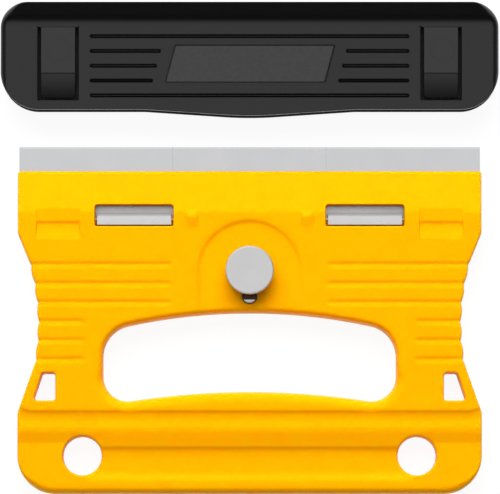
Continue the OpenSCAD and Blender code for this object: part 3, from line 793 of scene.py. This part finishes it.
def handle_lattice():
    """Places for the face's points: close together where the relief bends."""
    across = [
        around(BUMP_X, 2.5, 2.2, 0.3), around(LONG_GROOVE_X, 0.7, 1.2, 0.3),
        around(CHANNEL_X, 0.8, 0.8, 0.25), around(SHORT_GROOVE_X, 0.7, 0.6, 0.3),
        around(TONGUE_X - POCKET_HALF, 0.5, 0.6, 0.14), around(TONGUE_X + POCKET_HALF, 0.6, 0.5, 0.14),
    ]
    across += [around(at, 1, 1, 0.2) for at in GUSSET_X]
    upwards = [around(at, GROOVE_SLOPE + 0.4, GROOVE_WALL + 0.4, 0.16) for at in groove_heights]
    upwards += [
        (2.5, 6, 0.22), (9, SLOPE_END + 0.4, 0.2), (SLOPE_END + 0.4, STEP_H - 2, 0.3),
        around(STEP_H, 2, STEP_CURL + 0.6, 0.18), (POCKET_LOW - 0.4, CATCH_H - 0.7, 0.2),
        around(CATCH_H, 0.7, 0.8, 0.12), (BUMP_LOW - 0.5, BUMP_TOP + 2.5, 0.25),
    ]
    xs = both_ways(graded(0, HALF_W, FACE_STEP, across))
    points = lattice(xs, graded(0, HANDLE_H, FACE_STEP, upwards))
    outer, inner = ARCH_FADE
    from_arch = arch_distance(*points.T)
    near_arch = (points[:, 1] > ARCH_H) & (from_arch > inner - 0.05) & (from_arch < outer + 0.05)
    rows = np.arange(inner, outer + 0.05, ARCH_ROW)
    curves = [arc((0, ARCH_H), ARCH_R + row, 0, 180) for row in rows]
    return np.vstack([points[~near_arch]] + curves)


def cells(x0, x1, count, h0, h1, top):
    """Cutters for one row of cored cells."""
    pitch = (x1 - x0 + RIB_T) / count
    half = (pitch - RIB_T) / 2
    middles = x0 + half + pitch * np.arange(count)
    return [(rectangle(x, half, h0, h1), -PAST, top) for x in middles]


def back_cutters():
    """Solids that hollow the handle's back for the plate, the blades, the screw and the cored cells."""
    wide = HALF_W + PAST
    beyond = HANDLE_H + PAST
    above = HANDLE_T + PAST
    bar_half = HANG_X - HANG_R - CORE_WALL
    bar_z = HANDLE_T - CHANNEL_D - CORE_SKIN
    grip_z = HANDLE_T - GROOVE_D - CORE_SKIN
    side_x = OPENING_HALF + CORE_WALL
    side_low = LANYARD_TOP + CORE_WALL
    side_top = PLATE_LOW - PLATE_CLEAR - CORE_WALL
    side_pitch = (side_top - side_low + RIB_T) / SIDE_CELLS
    core = cells(-bar_half, bar_half, BAR_CELLS, BAR_CELL_LOW, BAR_CELL_TOP, bar_z)
    right = cells(
        STEM_HALF + CORE_WALL, side_x - RIB_T, TOP_CELLS, OPENING_TOP + CORE_WALL, side_top, grip_z,
    )
    for low in side_low + side_pitch * np.arange(SIDE_CELLS):
        right += cells(side_x, HALF_W - WAIST_IN - CORE_WALL, 1, low, low + side_pitch - RIB_T, grip_z)
    core += right + [(mirrored(shape), low, top) for shape, low, top in right]
    through = rectangle(WINDOW_X, WINDOW_HALF, LEDGE_TOP, WINDOW_TOP)
    pocket_low = PLATE_LOW - PLATE_CLEAR
    pockets = (
        ("head_step", rectangle(0, wide, HEAD_STEP, beyond), PLATE_Z),
        ("plate_pocket", rectangle(0, PLATE_HALF, pocket_low, beyond, PLATE_CORNER + PLATE_CLEAR), LAND_Z),
        ("blade_seat", rectangle(0, wide, BLADE_STOP, beyond), SEAT_Z),
        ("stem_pocket", rectangle(0, STEM_HALF, STEM_LOW, PLATE_LOW), LAND_Z),
        ("bush_slot", capsule(BUSH_SLOT_R, SCREW_H, SLOT_TOP), BUSH_TOP),
        ("pin_slot", capsule(SLOT_R, SLOT_LOW, SLOT_TOP), above),
    )
    return [prisms("core", core)] + [prisms(name, [(shape, -PAST, top)]) for name, shape, top in pockets] + [
        prisms("windows", [(window, LEDGE_Z, above) for window in twins(window_outline())]),
        prisms("hook_ways", [(way, -PAST, LEDGE_Z + PAST) for way in twins(through)]),
    ]


def make_handle():
    outer = changing(SIDE_EDGE_R, BOTTOM_EDGE_R, BOTTOM_EDGE_H)
    finger = changing(FINGER_EDGE_R, BAR_EDGE_R, BAR_EDGE_H)
    hang = stepped(arc((HANG_X, HANG_H), HANG_R, 0, 360))
    slot = stepped(capsule(SLOT_R, SLOT_LOW, SLOT_TOP))
    edges = [Edge(handle_outline(), front=outer, back=0.5, lean=0.24, foot=WALL_FOOT)]
    edges += hole_edges([finger_outline()], front=finger, back=1.3, lean=0.3, foot=WALL_FOOT)
    edges += hole_edges(twins(hang), front=0.35, back=0.4, lean=0.2, foot=WALL_FOOT)
    edges += hole_edges(twins(lanyard_outline()), front=0.3, back=0.35, lean=0.22, foot=WALL_FOOT)
    edges += hole_edges(twins(window_outline()), front=0.15, back=0, open=False, lean=0.18, foot=WINDOW_FOOT)
    edges += hole_edges([slot], front=0.2, back=0, open=False)
    piece = moulded("moulded_handle", edges, handle_face, handle_lattice())
    return smoothed(combined(piece, back_cutters()))


# Cover and its tongues
rib_heights = COVER_TOP - RIB_GROOVE_FIRST - RIB_GROOVE_PITCH * np.arange(RIB_GROOVE_COUNT)
NOSE_LINE = ((COVER_MOUTH, 0), (COVER_TOP - NOSE_L, 0), (COVER_TOP + NOSE_L, -2 * NOSE_L * NOSE_SLOPE))
RIB_LINE = (
    (-RIB_FLOOR - RIB_WALL, 0), (-RIB_FLOOR, -RIB_GROOVE_D),
    (RIB_FLOOR, -RIB_GROOVE_D), (RIB_FLOOR + RIB_WALL, 0),
)


def panel_shift(h):
    """Shift along x of the leaning panel and of the grooves that stop beside it."""
    return (h - rib_heights[RIB_GROOVE_COUNT // 2]) * PANEL_LEAN


def cover_outline():
    return stepped(rounded([
        (COVER_HALF, COVER_TOP, COVER_UPPER_R), (-COVER_HALF, COVER_TOP, COVER_UPPER_R),
        (-COVER_HALF, COVER_LOW, COVER_LOWER_R), (-BULGE_W, COVER_LOW, 0), (0, COVER_MOUTH, BULGE_R),
        (BULGE_W, COVER_LOW, 0), (COVER_HALF, COVER_LOW, COVER_LOWER_R),
    ]))


def cover_face(x, h):
    """Height of the cover's face, before its edges are rounded."""
    z = COVER_T + soft_line(h, NOSE_LINE, NOSE_SOFT)
    for number, at in enumerate(rib_heights):
        across = step_at(np.abs(x), RIB_GROOVE_X, -RIB_END)
        if 0 < number < RIB_GROOVE_COUNT - 1:
            across = across * step_at(np.abs(x - panel_shift(at)), BARE_X, RIB_END)
        z += soft_line(h - at, RIB_LINE, RIB_SOFT) * across
    panel = step_at(np.abs(x - panel_shift(h)), PANEL_HALF, -PANEL_WALL)
    panel = panel * step_at(h, PANEL_LOW, PANEL_WALL) * step_at(h, PANEL_TOP, -PANEL_WALL)
    return z + PANEL_Z * panel


def cover_lattice():
    reach = abs(panel_shift(PANEL_TOP)) + 0.6
    across = [
        around(PANEL_HALF, reach, reach, 0.2), around(BARE_X, reach, reach, 0.2),
        around(RIB_GROOVE_X, 0.6, 0.6, 0.15),
    ]
    upwards = [around(at, RIB_WALL + 0.4, RIB_WALL + 0.4, 0.1) for at in rib_heights]
    upwards += [around(at, 0.3, 0.3, 0.1) for at in (PANEL_LOW, PANEL_TOP)]
    upwards.append((COVER_TOP - NOSE_L - 1.6, COVER_TOP, 0.25))
    xs = both_ways(graded(0, COVER_HALF, 1, across))
    return lattice(xs, graded(COVER_MOUTH, COVER_TOP, FACE_STEP, upwards))


def cover_cavity():
    """The hollow that goes over the head, open at the mouth."""
    half = COVER_HALF - COVER_SIDE
    outline = rectangle(0, half, COVER_MOUTH - PAST, COVER_INSIDE, 0, COVER_UPPER_R - COVER_SIDE)
    bend = COVER_TOP - NOSE_L - NOSE_WALL
    line = ((COVER_MOUTH, CAVITY_TOP), (bend, CAVITY_TOP), (COVER_INSIDE, COVER_T - NOSE_INSIDE))
    loose = lattice(np.linspace(-half, half, 41), np.linspace(bend - 1, COVER_INSIDE - 0.1, 12))

    def ceiling(x, h):
        return soft_line(h, line, NOSE_INSIDE_SOFT)

    return moulded("cavity", [Edge(stepped(outline), 0, 0)], ceiling, loose, COVER_WALL)


def bump_ways():
    """Grooves in the cover's ceiling that pass over the handle's rest bumps."""
    way = rectangle(BUMP_X, BUMP_HALF + BUMP_WAY, COVER_MOUTH - PAST, BUMP_WAY_END)
    return prisms("bump_ways", [(shape, CAVITY_TOP - JOIN, CAVITY_TOP + BUMP_WAY_D) for shape in twins(way)])


def cover_radius(points):
    """The cover's sides are rounder than its mouth and its nose."""
    side = ramp(np.abs(points[:, 0]), *COVER_SIDE_X) * ramp(points[:, 1], *COVER_SIDE_H)
    return COVER_EDGE_R + (COVER_SIDE_R - COVER_EDGE_R) * side


# The edges of a tongue and its window are broken. The tongue's root runs on into the cover and turns behind.
tongue_front = changing(0, TONGUE_EDGE_R, ROOT_FADE)
tongue_back = changing(TONGUE_EDGE_R, ROOT_BACK_R, ROOT_TURN)


def make_cover():
    window = rectangle(TONGUE_X, TONGUE_HALF + SLIT, WINDOW_END, ROOT_END + ROOT_GAP)
    windows = twins(stepped(window))
    edges = [Edge(cover_outline(), front=cover_radius, back=COVER_BACK_R)]
    edges += hole_edges(windows, front=tongue_front, back=0, open=False)
    piece = moulded("moulded_cover", edges, cover_face, cover_lattice())
    openings = prisms("tongue_windows", [(window, CAVITY_TOP - PAST, COVER_T + PAST) for window in windows])
    return smoothed(combined(piece, [cover_cavity(), bump_ways(), openings]))


def make_tongue(name, side):
    """A release tongue: a flat pad with a ring, a slope that steepens to its tip, and a nib below."""
    middle = side * TONGUE_X
    pad_low = COVER_T - PAD_STEP
    line = []
    for share in np.linspace(1, 0, 11):
        fall = (pad_low - TIP_Z) * ((1 - SLOPE_CURVE) * share + SLOPE_CURVE * share * share)
        line.append((PAD_END - share * (PAD_END - TONGUE_TIP), pad_low - fall))
    line += [(PAD_END + 0.1, COVER_T), (COVER_TOP, COVER_T)]

    def face(x, h):
        from_ring = np.hypot(x - middle, h - RING_H) - RING_R
        return soft_line(h, line, PAD_SOFT) + RING_RISE * np.exp(-(from_ring / RING_W) ** 2)

    outline = stepped(rectangle(middle, TONGUE_HALF, TONGUE_TIP, ROOT_END))
    hs = graded(TONGUE_TIP, ROOT_END, 0.18, [around(PAD_END, 0.3, 0.3, 0.06)])
    loose = lattice(np.linspace(middle - TONGUE_HALF, middle + TONGUE_HALF, 52), hs)
    piece = moulded(name, [Edge(outline, tongue_front, tongue_back)], face, loose, CAVITY_TOP)
    catch = rectangle(middle, TONGUE_HALF - NIB_IN, TONGUE_TIP + NIB_TIP_IN, CATCH_FACE)
    nib = prisms("nib", [(catch, NIB_Z, CAVITY_TOP + NIB_ROOT)])
    return smoothed(combined(piece, [nib], "UNION"))


# Turned pieces
def turned(name, centre_h, profile, count=96, knurl=None):
    """A piece turned about an upright axis: its profile (radius, z) starts and ends on the axis."""
    angles = 2 * math.pi * np.arange(count) / count
    points = [(0, centre_h, profile[0][1])]
    for radius, z in profile[1:-1]:
        reach = radius - knurl(angles, z) if knurl else np.full(count, radius)
        points += list(zip(reach * np.cos(angles), centre_h + reach * np.sin(angles), np.full(count, z)))
    points.append((0, centre_h, profile[-1][1]))
    last = len(points) - 1
    top = last - count
    faces = []
    for first in range(1, top, count):
        faces += ring_faces(first, count)
    for i in range(count):
        j = (i + 1) % count
        faces += [(0, 1 + j, 1 + i), (last, top + i, top + j)]
    return new_piece(name, points, faces)


def make_knob():
    low = KNOB_LOW.z
    high = KNOB_HIGH.z
    radius = KNOB_HIGH.x
    foot = low + KNOB_FOOT
    shoulder = high - KNOB_SHOULDER

    def knurl(angles, z):
        share = np.clip((z - low) / KNOB_FOOT, 0, 1) * np.clip((shoulder - z) / KNOB_SHOULDER, 0, 1)
        return KNURL_D * share * (0.5 - 0.5 * np.cos(KNURL_COUNT * angles)) ** KNURL_POWER

    profile = [(0, low), (radius - 0.6, low), (radius - 0.1, foot)]
    profile += [(radius, z) for z in np.linspace(foot + 0.1, shoulder, 10)]
    profile += [
        (radius - 0.02, shoulder + 0.16), (radius - 0.06, high - 0.04), (radius - 0.12, high),
        (radius - 0.5, high), (radius - 2.4, high - 0.02), (1.2, high - 0.05), (0.3, high - 0.08),
        (0, high - 0.09),
    ]
    return smoothed(turned("knurled_knob", SCREW_H, profile, KNURL_COUNT * 8, knurl), KNOB_CREASE)


def make_pin():
    """The guide pin with broken edges, its end cut back on the side of the knob."""
    low, high = corners("guide_pin")
    radius = high.x
    profile = [
        (0, low.z), (radius - PIN_BEVEL, low.z), (radius, low.z + PIN_BEVEL), (radius, high.z - PIN_BEVEL),
        (radius - 0.3 * PIN_BEVEL, high.z - 0.3 * PIN_BEVEL), (radius - PIN_BEVEL, high.z), (0, high.z),
    ]
    pin = smoothed(turned("turned_pin", (low.y + high.y) / 2, profile))
    beside = rectangle(0, radius + PAST, PIN_FLAT, high.y + PAST)
    return smoothed(combined(pin, [prisms("pin_flat", [(beside, high.z - PIN_CUT, high.z + PAST)])]))


# Steel pieces
def make_blade(node):
    """A blade in the place of its node, its cutting edge ground from both faces."""
    low, high = corners(node)
    mid_z = (low.z + high.z) / 2
    ground = high.y - GRIND_W
    section = np.array((
        (low.y, low.z), (ground, low.z), (high.y, mid_z - EDGE_T / 2),
        (high.y, mid_z + EDGE_T / 2), (ground, high.z), (low.y, high.z),
    ))
    piece = extruded("ground_" + node, section, low.x, high.x, BLADE_BEVEL, BLADE_RUN)
    return smoothed(piece, GRIND_CREASE)


def hook_section():
    """A hook's web and its lip, bent over the window's ledge."""
    bend = (WEB_TOP - HOOK_R, LIP_TOP - HOOK_R)
    outer = arc(bend, HOOK_R, 0, 90)
    foot = ((WEB_TOP - PLATE_T, PLATE_Z + JOIN), (WEB_TOP, PLATE_Z + JOIN))
    lip = ((LIP_END, LIP_TOP), (LIP_END, LIP_TOP - PLATE_T), (WEB_TOP - PLATE_T, LIP_TOP - PLATE_T))
    return np.vstack((foot, outer, lip))


def make_plate():
    """The pressed plate with its stem, the gaps that its hooks are bent from, and the hooks."""
    low, high = corners("clamp_plate")
    right = [
        (PLATE_STEM, low.y, STEM_R), (PLATE_STEM, PLATE_LOW, STEM_ROOT_R),
        (high.x, PLATE_LOW, PLATE_CORNER), (high.x, high.y, PLATE_CORNER),
    ]
    gap = rectangle(WINDOW_X, WINDOW_HALF, TAB_LOW, WEB_TOP - PLATE_T)
    holes = list(twins(stepped(gap)))
    holes.append(arc((0, SCREW_H), BUSH_NECK_R, 0, 360)[:-1])
    holes.append(arc((0, PIN_H), PIN_NECK_R, 0, 360)[:-1])
    edges = [Edge(symmetric(right), PLATE_BEVEL, PLATE_BEVEL)]
    edges += hole_edges(holes, front=PLATE_BEVEL, back=PLATE_BEVEL)

    def face(x, h):
        return np.full(len(x), PLATE_Z + PLATE_T)

    piece = moulded("pressed_plate", edges, face, np.empty((0, 2)), PLATE_Z)
    section = hook_section()
    hooks = [
        extruded("hook", section, middle - HOOK_HALF, middle + HOOK_HALF, PLATE_BEVEL, PLATE_BEVEL)
        for middle in (-WINDOW_X, WINDOW_X)
    ]
    return smoothed(combined(piece, hooks, "UNION"))


# Materials
class Wire:
    """One output of a material's nodes. Sums on wires and numbers add Math nodes."""

    def __init__(self, tree, socket):
        self.tree = tree
        self.socket = socket

    def node(self, kind, sockets, output=0, **settings):
        """Another node: its settings first, then the values or wires of its sockets."""
        made = self.tree.nodes.new("ShaderNode" + kind)
        for name, value in settings.items():
            setattr(made, name, value)
        self.feed(made, sockets)
        return Wire(self.tree, made.outputs[output])

    def feed(self, made, sockets):
        """Sets a node's sockets to values, or links wires to them."""
        for name, value in sockets.items():
            if isinstance(value, Wire):
                self.tree.links.new(value.socket, made.inputs[name])
            else:
                made.inputs[name].default_value = value

    def maths(self, operation, first, second):
        return self.node("Math", {0: first, 1: second}, operation=operation)

    def __add__(self, other):
        return self.maths("ADD", self, other)

    __radd__ = __add__

    def __sub__(self, other):
        return self.maths("SUBTRACT", self, other)

    def __rsub__(self, other):
        return self.maths("SUBTRACT", other, self)

    def __mul__(self, other):
        return self.maths("MULTIPLY", self, other)

    __rmul__ = __mul__

    def along(self, axis):
        """One coordinate of a place: X, Y or Z."""
        return self.node("SeparateXYZ", {0: self}, axis)

    def mix(self, low, high):
        """A colour between two, with this wire as the share of the second."""
        return self.node("Mix", {0: self, 6: low, 7: high}, 2, data_type="RGBA")

    def spread(self, low, high):
        """This wire's values between low and high, as 0 to 1 and no further."""
        return self.node("MapRange", {"Value": self, "From Min": low, "From Max": high})

    def scaled(self, factors):
        return self.node("VectorMath", {0: self, 1: factors}, operation="MULTIPLY")

    def noise(self, size, detail=2.0):
        """Noise with blotches of about a size in millimetres."""
        return self.node("TexNoise", {"Vector": self, "Scale": 1 / (size * MM), "Detail": detail})

    def bump(self, depth):
        """A normal from this wire as a height, with a depth in millimetres."""
        return self.node("Bump", {"Height": self, "Distance": depth * MM, "Strength": 1})


def new_material(name, looks, *values):
    """A material whose shader's sockets are given by a function of object coordinates and other values."""
    made = bpy.data.materials.new(name)
    made.use_nodes = True
    tree = made.node_tree
    place = Wire(tree, tree.nodes.new("ShaderNodeTexCoord").outputs["Object"])
    place.feed(tree.nodes["Principled BSDF"], looks(place, *values))
    return made


def yellow_plastic(place):
    """Yellow moulded plastic, which light enters a little way."""
    flow = place.noise(14, 3)
    grain = place.noise(0.22)
    peel = place.noise(1.6)
    return {
        "Base Color": flow.mix((0.99, 0.405, 0.0002, 1), (1, 0.42, 0.0004, 1)),
        "Roughness": 0.4 + 0.1 * grain,
        "Normal": (grain + peel).bump(0.005),
        "Specular IOR Level": 0.06,
        "Specular Tint": (1, 0.6, 0.02, 1),
        "Subsurface Weight": 0.7,
        "Subsurface Radius": (1, 0.15, 0.03),
        "Subsurface Scale": 0.002,
    }


def black_plastic(place, roughness):
    """Black moulded plastic, rubbed grey on the cover's raised panel."""
    grain = place.noise(0.18)
    peel = place.noise(1.2)
    panel = place.along("Z").spread((COVER_T + 0.4 * PANEL_Z) * MM, (COVER_T + 0.8 * PANEL_Z) * MM)
    plain = peel.mix((0.0045, 0.0045, 0.0047, 1), (0.007, 0.007, 0.0072, 1))
    rubbed = peel.mix((0.03, 0.03, 0.0305, 1), (0.085, 0.085, 0.0855, 1))
    return {
        "Base Color": panel.mix(plain, rubbed),
        "Roughness": roughness - 0.12 * panel + 0.08 * grain,
        "Normal": (grain + peel).bump(0.006),
        "Specular IOR Level": 0.62,
    }


def turned_steel(place, shade, roughness, shade_top_z):
    """Turned steel with a painted highlight round its rim, and painted shade inside the handle up to a
    level.
    """
    centre = place.node("VectorMath", {0: place, 1: (0, (SCREW_H + BASE_Y) * MM, 0)}, operation="SUBTRACT")
    from_axis = centre.node("VectorMath", {0: centre.scaled((1, 1, 0))}, "Value", operation="LENGTH")
    rings = place.node("Math", {0: from_axis * (2 * math.pi / (TURNING_PITCH * MM))}, operation="SINE")
    blotch = place.noise(2.5, 3)
    pale = shade + 0.1
    # Painted highlight: a pale ring round the knob's top rim stands in for the rim's reflection
    inside = KNOB_HIGH.x - RIM_HIGHLIGHT_W
    rim_highlight = from_axis.spread(inside * MM, (inside + RIM_HIGHLIGHT_FADE) * MM)
    rim_highlight = rim_highlight * from_axis.spread((KNOB_HIGH.x + RIM_HIGHLIGHT_FADE) * MM, (KNOB_HIGH.x + RIM_HIGHLIGHT_FADE / 2) * MM)
    unshaded_colour = rim_highlight.mix(blotch.mix((shade, shade, shade, 1), (pale, pale, pale, 1)), (0.84, 0.83, 0.8, 1))
    # Painted shade: dark brown between the plate's land and a level, where the pin lies in shade inside the
    # handle
    level = place.along("Z")
    unshaded_share = level.spread((shade_top_z - 0.5) * MM, shade_top_z * MM) + level.spread((LAND_Z + 0.3) * MM, LAND_Z * MM)
    return {
        "Base Color": unshaded_share.mix((0.06, 0.03, 0.02, 1), unshaded_colour),
        "Roughness": roughness + 0.12 * blotch,
        "Normal": (0.5 * rings + 0.6 * place.noise(0.3)).bump(0.003),
        "Metallic": 1,
    }


def rolled_steel(place):
    """Sheet steel with streaks from rolling, bright on the hooks' lips, with painted shade deep in the
    windows and by the bends.
    """
    streaks = place.scaled((0.05, 1, 1)).noise(0.25, 4)
    blotch = place.noise(6, 3)
    # Painted shade: the plate below the lips' level, seen deep in the windows, and the lips' last stretch by
    # their bends are darker
    raised = place.along("Z").spread(LEDGE_Z * MM, (LIP_TOP - PLATE_T) * MM)
    edge = (LIP_SHADE_H + BASE_Y) * MM
    unshaded_lip = raised * place.along("Y").spread(edge + 0.1 * MM, edge - 0.1 * MM)
    bright = streaks.mix((0.6, 0.6, 0.61, 1), (0.76, 0.76, 0.76, 1))
    return {
        "Base Color": unshaded_lip.mix((0.5, 0.5, 0.505, 1), bright),
        "Roughness": 0.2 + 0.08 * blotch + 0.1 * streaks,
        "Normal": streaks.bump(0.004),
        "Metallic": 1,
    }


def blade_steel(place):
    """Blade steel with fine lines across, paler where its edge is ground."""
    lines = place.scaled((1, 0.06, 1)).noise(0.12, 3)
    blotch = place.noise(9, 3)
    edge = corners("blade_middle")[1].y + BASE_Y
    ground = place.along("Y").spread((edge - GRIND_W) * MM, (edge - 0.9 * GRIND_W) * MM)
    flat = blotch.mix((0.6, 0.605, 0.62, 1), (0.66, 0.66, 0.67, 1))
    return {
        "Base Color": ground.mix(flat, (0.68, 0.68, 0.69, 1)),
        "Roughness": 0.22 + 0.06 * lines,
        "Normal": lines.bump(0.0005),
        "Metallic": 1,
    }


# The finished pieces on their bodies
PIECES = (
    (make_handle(), "handle", "handle", "yellow_plastic"),
    (make_cover(), "cover", "blade_cover", "black_plastic"),
    (make_tongue("tongue_pad_left", -1), "tongue_left", "release_tongue_left", "black_plastic"),
    (make_tongue("tongue_pad_right", 1), "tongue_right", "release_tongue_right", "black_plastic"),
    (make_knob(), "knob", "thumb_knob", "turned_steel"),
    (make_pin(), "clamp", "guide_pin", "turned_steel"),
    (make_plate(), "clamp", "clamp_plate", "plate_steel"),
) + tuple((make_blade(node), node, node, "blade_steel") for node in BLADES)
tongue_finish = new_material("tongue_moulding", black_plastic, 0.18)
OWN_FINISHES = {
    "release_tongue_left": tongue_finish,
    "release_tongue_right": tongue_finish,
    "guide_pin": new_material("pin_steel", turned_steel, 0.46, 0.12, PIN_SHADE_TOP),
}
FINISHES = {
    "yellow_plastic": new_material("yellow_moulding", yellow_plastic),
    "black_plastic": new_material("black_moulding", black_plastic, 0.3),
    "turned_steel": new_material("turned_steel", turned_steel, 0.65, 0.26, 0),
    "plate_steel": new_material("rolled_steel", rolled_steel),
    "blade_steel": new_material("blade_steel", blade_steel),
}
for piece, body, node, slot in PIECES:
    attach(piece, body)
    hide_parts(node)
    piece.data.materials.clear()
    piece.data.materials.append(OWN_FINISHES.get(node, FINISHES[slot]))
for subpart in frame["record"]["subparts"]:
    solid = frame["nodes"][subpart["node"]]
    for place in solid.material_slots:
        place.material = FINISHES[subpart["material_slot"]]

# Floor, which stays white to the camera and in reflections
FLOOR_HALF = 3.0
FLOOR_DROP = 0.00015
FLOOR_SHADE = (0.8, 0.8, 0.8, 1)
FLOOR_GLOW = 1.03
FLOOR_WHITE = 0.9
WHITE = (1, 1, 1, 1)
floor_mesh = bpy.data.meshes.new("floor")
floor_mesh.from_pydata(
    [(x * FLOOR_HALF, y * FLOOR_HALF, -FLOOR_DROP) for x, y in ((-1, -1), (1, -1), (1, 1), (-1, 1))],
    [], [(0, 1, 2, 3)],
)
floor = placed("floor", floor_mesh)


def floor_finish():
    made = bpy.data.materials.new("floor")
    made.use_nodes = True
    tree = made.node_tree
    tree.nodes.clear()
    path = tree.nodes.new("ShaderNodeLightPath")
    seen = Wire(tree, path.outputs["Is Camera Ray"])
    for kind in ("Is Glossy Ray", "Is Transmission Ray"):
        seen = seen + Wire(tree, path.outputs[kind])
    pale = seen.node("BsdfDiffuse", {"Color": FLOOR_SHADE})
    white = seen.node("Emission", {"Color": WHITE, "Strength": FLOOR_GLOW})
    mixed = seen.node("MixShader", {0: FLOOR_WHITE * seen, 1: pale, 2: white})
    output = tree.nodes.new("ShaderNodeOutputMaterial")
    tree.links.new(mixed.socket, output.inputs["Surface"])
    return made


floor_mesh.materials.append(floor_finish())

# Light: a soft key from beyond the cover, weaker lamps round the steel and a dome that is bright overhead
LAMP_SIZE = (1.7, 1.5)
KEY_PLACE = (-0.12, 1.1, 1.1)
KEY_POWER = 51
STEEL_POWER = 6.5
STEEL_PLACES = {"near": (0, -1.3, 0.8), "left": (-1.3, 0, 0.8), "right": (1.3, 0, 0.8)}
SHEET = ("plate_steel", "blade_steel")
ZENITH = 1.0
ZENITH_WAY = Vector((-0.05, 0.05, 1)).normalized()
ZENITH_SPREAD = (0.86, 0.975)
LOW_FAR = 0.03
LOW_NEAR = 0.4
LOW_SIDE = 0.25
NEAR_SPREAD = (-0.3, -0.8)
SIDE_SPREAD = (0.45, 0.85)
BAND_LOW = (0.1, 0.3)
BAND_HIGH = (0.85, 0.65)


def soft_lamp(name, place, power, slots, state):
    """A large lamp that faces the object and lights or leaves out the pieces of some slots."""
    data = bpy.data.lights.new(name, "AREA")
    data.shape = "RECTANGLE"
    data.size, data.size_y = LAMP_SIZE
    data.energy = power
    lamp = placed(name, data)
    lamp.location = place
    lamp.rotation_euler = Vector(place).to_track_quat("Z", "Y").to_euler()
    linked = bpy.data.collections.new(name)
    for piece, body, node, slot in PIECES:
        if slot in slots:
            linked.objects.link(piece)
    lamp.light_linking.receiver_collection = linked
    for member in linked.collection_objects:
        member.light_linking.link_state = state


def light_dome():
    """A world that is white to the camera, bright overhead and dim round the horizon."""
    world = bpy.data.worlds.new("studio")
    world.use_nodes = True
    bpy.context.scene.world = world
    tree = world.node_tree
    tree.nodes.clear()
    way = Wire(tree, tree.nodes.new("ShaderNodeTexCoord").outputs["Generated"])
    height = way.along("Z")
    band = height.spread(*BAND_LOW) * height.spread(*BAND_HIGH)
    near = way.along("Y").spread(*NEAR_SPREAD)
    side = way.node("Math", {0: way.along("X")}, operation="ABSOLUTE").spread(*SIDE_SPREAD)
    low = LOW_FAR + ((LOW_NEAR - LOW_FAR) * near + (LOW_SIDE - LOW_FAR) * side) * band
    upwards = way.node("VectorMath", {0: way, 1: ZENITH_WAY}, "Value", operation="DOT_PRODUCT")
    dome = low + upwards.spread(*ZENITH_SPREAD) * (ZENITH - low)
    seen = Wire(tree, tree.nodes.new("ShaderNodeLightPath").outputs["Is Camera Ray"])
    strength = dome + seen * (1 - dome)
    sky = strength.node("Background", {"Color": WHITE, "Strength": strength})
    tree.links.new(sky.socket, tree.nodes.new("ShaderNodeOutputWorld").inputs["Surface"])


soft_lamp("key", KEY_PLACE, KEY_POWER, SHEET + ("turned_steel", "black_plastic"), "EXCLUDE")
soft_lamp("steel_far", KEY_PLACE, STEEL_POWER, SHEET + ("turned_steel",), "INCLUDE")
for side, place in STEEL_PLACES.items():
    soft_lamp("steel_" + side, place, STEEL_POWER, SHEET, "INCLUDE")
light_dome()

# Camera almost straight above the front, far away, a little towards the handle's bottom edge
CAMERA_FAR = 2.0
CAMERA_TILT = math.radians(3)
FRAME_W = 0.130
FRAME_X = 0.000104
FRAME_Y = 0.00052
camera_data = bpy.data.cameras.new("camera")
camera_data.sensor_width = 36
camera_data.lens = camera_data.sensor_width * (CAMERA_FAR - HANDLE_T * MM) / FRAME_W
camera_data.clip_end = 20
camera = placed("camera", camera_data)
back = CAMERA_FAR * math.sin(CAMERA_TILT)
camera.location = (FRAME_X, FRAME_Y - back, CAMERA_FAR * math.cos(CAMERA_TILT))
camera.rotation_euler = (CAMERA_TILT, 0, 0)
bpy.context.scene.camera = camera
bpy.context.scene.view_settings.view_transform = "Standard"
